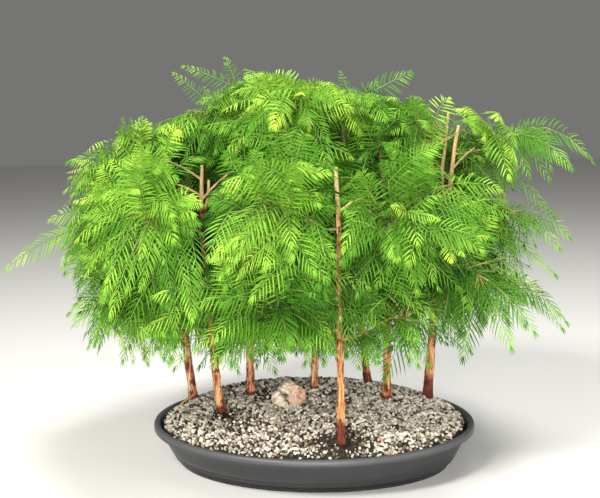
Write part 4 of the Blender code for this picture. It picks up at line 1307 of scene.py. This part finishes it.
for number, (name, height, heading, rise, length, droop) in enumerate(SPRIGS):
    dice = random.Random(40 + number)
    tree = next(t for t in TREES if t["name"] == name)
    turn = math.radians(heading)
    way = unit(np.array([math.cos(turn), math.sin(turn), rise]))
    root = trunk_axis(tree, height) + way * trunk_radius(tree, height)
    across = unit(np.cross(way, unit(outer_face(root) + FRONT_FACE)))
    spread = 0.85 if length < 0.1 else 0.40
    reach = 0.0225 if height < 0.4 else 0.0135
    # Sprigs on the front and left trees are biased to lighter tints: painted light.
    bias = 0.30 if name in ("front", "left") else 0.05
    for side, size in ((0.0, 1.0), (spread, 0.62), (-spread, 0.62)):
        out = unit(way + across * side)
        frond = plan_frond(0, root, out, length * size, droop, dice, reach, bias, False, True, True, 0.0008)
        if frond and lane_open(frond[0] + frond[1] * frond[3] * np.array([[0.35], [0.7], [1.0]])):
            dress_frond(frond, dice)

straw, nodes, links, shader = new_material("young twigs", 0.7, 0.3)
noise_colour(nodes, links, shader, ((0.3, (0.17, 0.15, 0.04)), (0.5, (0.33, 0.30, 0.08)), (0.7, (0.50, 0.42, 0.16))),
             160.0, 3.0)
foliage_nodes = [n for n in CAD_NODES if n.startswith("foliage_")]
twigs_piece = mesh_piece("twigs", twig_store[0], twig_store[1], straw)
place(twigs_piece, "foliage", *foliage_nodes)
green_stem, nodes, links, shader = new_material("green stems", 0.6, 0.3)
noise_colour(nodes, links, shader, ((0.3, (0.10, 0.24, 0.03)), (0.7, (0.26, 0.42, 0.06))), 120.0, 3.0)
rachis_piece = mesh_piece("frond_stems", rachis_store[0], rachis_store[1], green_stem)
place(rachis_piece, "foliage", *foliage_nodes)

NEEDLES_PER_PIECE = 46000
for name, colour in TINTS.items():
    leaf, nodes, links, shader = new_material(name.replace("_", " "), 0.65, 0.12)
    light = tuple(min(1.0, c * 1.25) for c in colour)
    dark = tuple(c * 0.76 for c in colour)
    noise_colour(nodes, links, shader, ((0.30, dark), (0.70, light)), 60.0, 3.0)
    blocks = np.vstack(needle_blocks[name])
    shares = math.ceil(len(blocks) / NEEDLES_PER_PIECE)
    for part in range(shares):
        points = blocks[part::shares]
        faces = NEEDLE_FACES[None] + 6 * np.arange(len(points))[:, None, None]
        piece = array_piece(name + "_" + "abcdefgh"[part], points.reshape(-1, 3), faces.reshape(-1, 3), leaf, smooth=False)
        place(piece, "foliage", *foliage_nodes)

# Room
# Pale floor and soft studio light. The camera stands a metre in front, a little
# to the right and above, as in the photograph.
bpy.ops.object.select_all(action="DESELECT")
bpy.ops.mesh.primitive_plane_add(size=14.0, location=(0, 0, 0))
floor = bpy.context.active_object
floor.name = "floor"
floor_paint, nodes, links, shader = new_material("pale floor", 0.9, 0.2)
shader.inputs["Base Color"].default_value = (0.78, 0.77, 0.75, 1.0)
floor.data.materials.append(floor_paint)

bpy.context.scene.view_settings.view_transform = "Standard"
world = bpy.data.worlds.new("soft room")
bpy.context.scene.world = world
world.use_nodes = True
world.node_tree.nodes["Background"].inputs["Color"].default_value = (1.0, 0.99, 0.96, 1.0)
world.node_tree.nodes["Background"].inputs["Strength"].default_value = 0.18


def add_light(name, spot_at, target, size, power, colour):
    lamp = bpy.data.lights.new(name, "AREA")
    lamp.size = size
    lamp.energy = power
    lamp.color = colour
    holder = bpy.data.objects.new(name, lamp)
    bpy.context.scene.collection.objects.link(holder)
    holder.location = spot_at
    holder.rotation_euler = (Vector(target) - Vector(spot_at)).to_track_quat("-Z", "Y").to_euler()


add_light("key", (-0.9, -1.5, 1.9), (0, 0, 0.25), 0.45, 58, (1.0, 0.98, 0.93))
add_light("front", (0.10, -1.90, 0.52), (0.03, 0, 0.10), 0.7, 30, (1.0, 0.97, 0.92))
add_light("top", (0.3, -0.2, 2.2), (0, 0, 0.2), 0.7, 36, (1.0, 1.0, 0.97))
add_light("side", (1.9, -0.9, 1.0), (0, 0, 0.2), 1.2, 14, (0.95, 0.98, 1.0))

DISTANCE = 1.0715
EYE_HEIGHT = 0.4225
PITCH = math.radians(8.5)
AZIMUTH = math.radians(6.1)
ROLL = math.radians(-1.09)
forward = Vector((-math.sin(AZIMUTH) * math.cos(PITCH), math.cos(AZIMUTH) * math.cos(PITCH), -math.sin(PITCH)))
right = Vector((math.cos(AZIMUTH), math.sin(AZIMUTH), 0.0))
up = right.cross(forward)
tilted_right = right * math.cos(ROLL) + up * math.sin(ROLL)
tilted_up = up * math.cos(ROLL) - right * math.sin(ROLL)
view = bpy.data.cameras.new("camera")
view.lens = 54.0
view.sensor_width = 36.0
camera = bpy.data.objects.new("camera", view)
bpy.context.scene.collection.objects.link(camera)
turn = Matrix((tilted_right, tilted_up, -forward)).transposed().to_4x4()
camera.matrix_world = Matrix.Translation((DISTANCE * math.sin(AZIMUTH) - 0.0117,
                                          -DISTANCE * math.cos(AZIMUTH), EYE_HEIGHT)) @ turn
bpy.context.scene.camera = camera
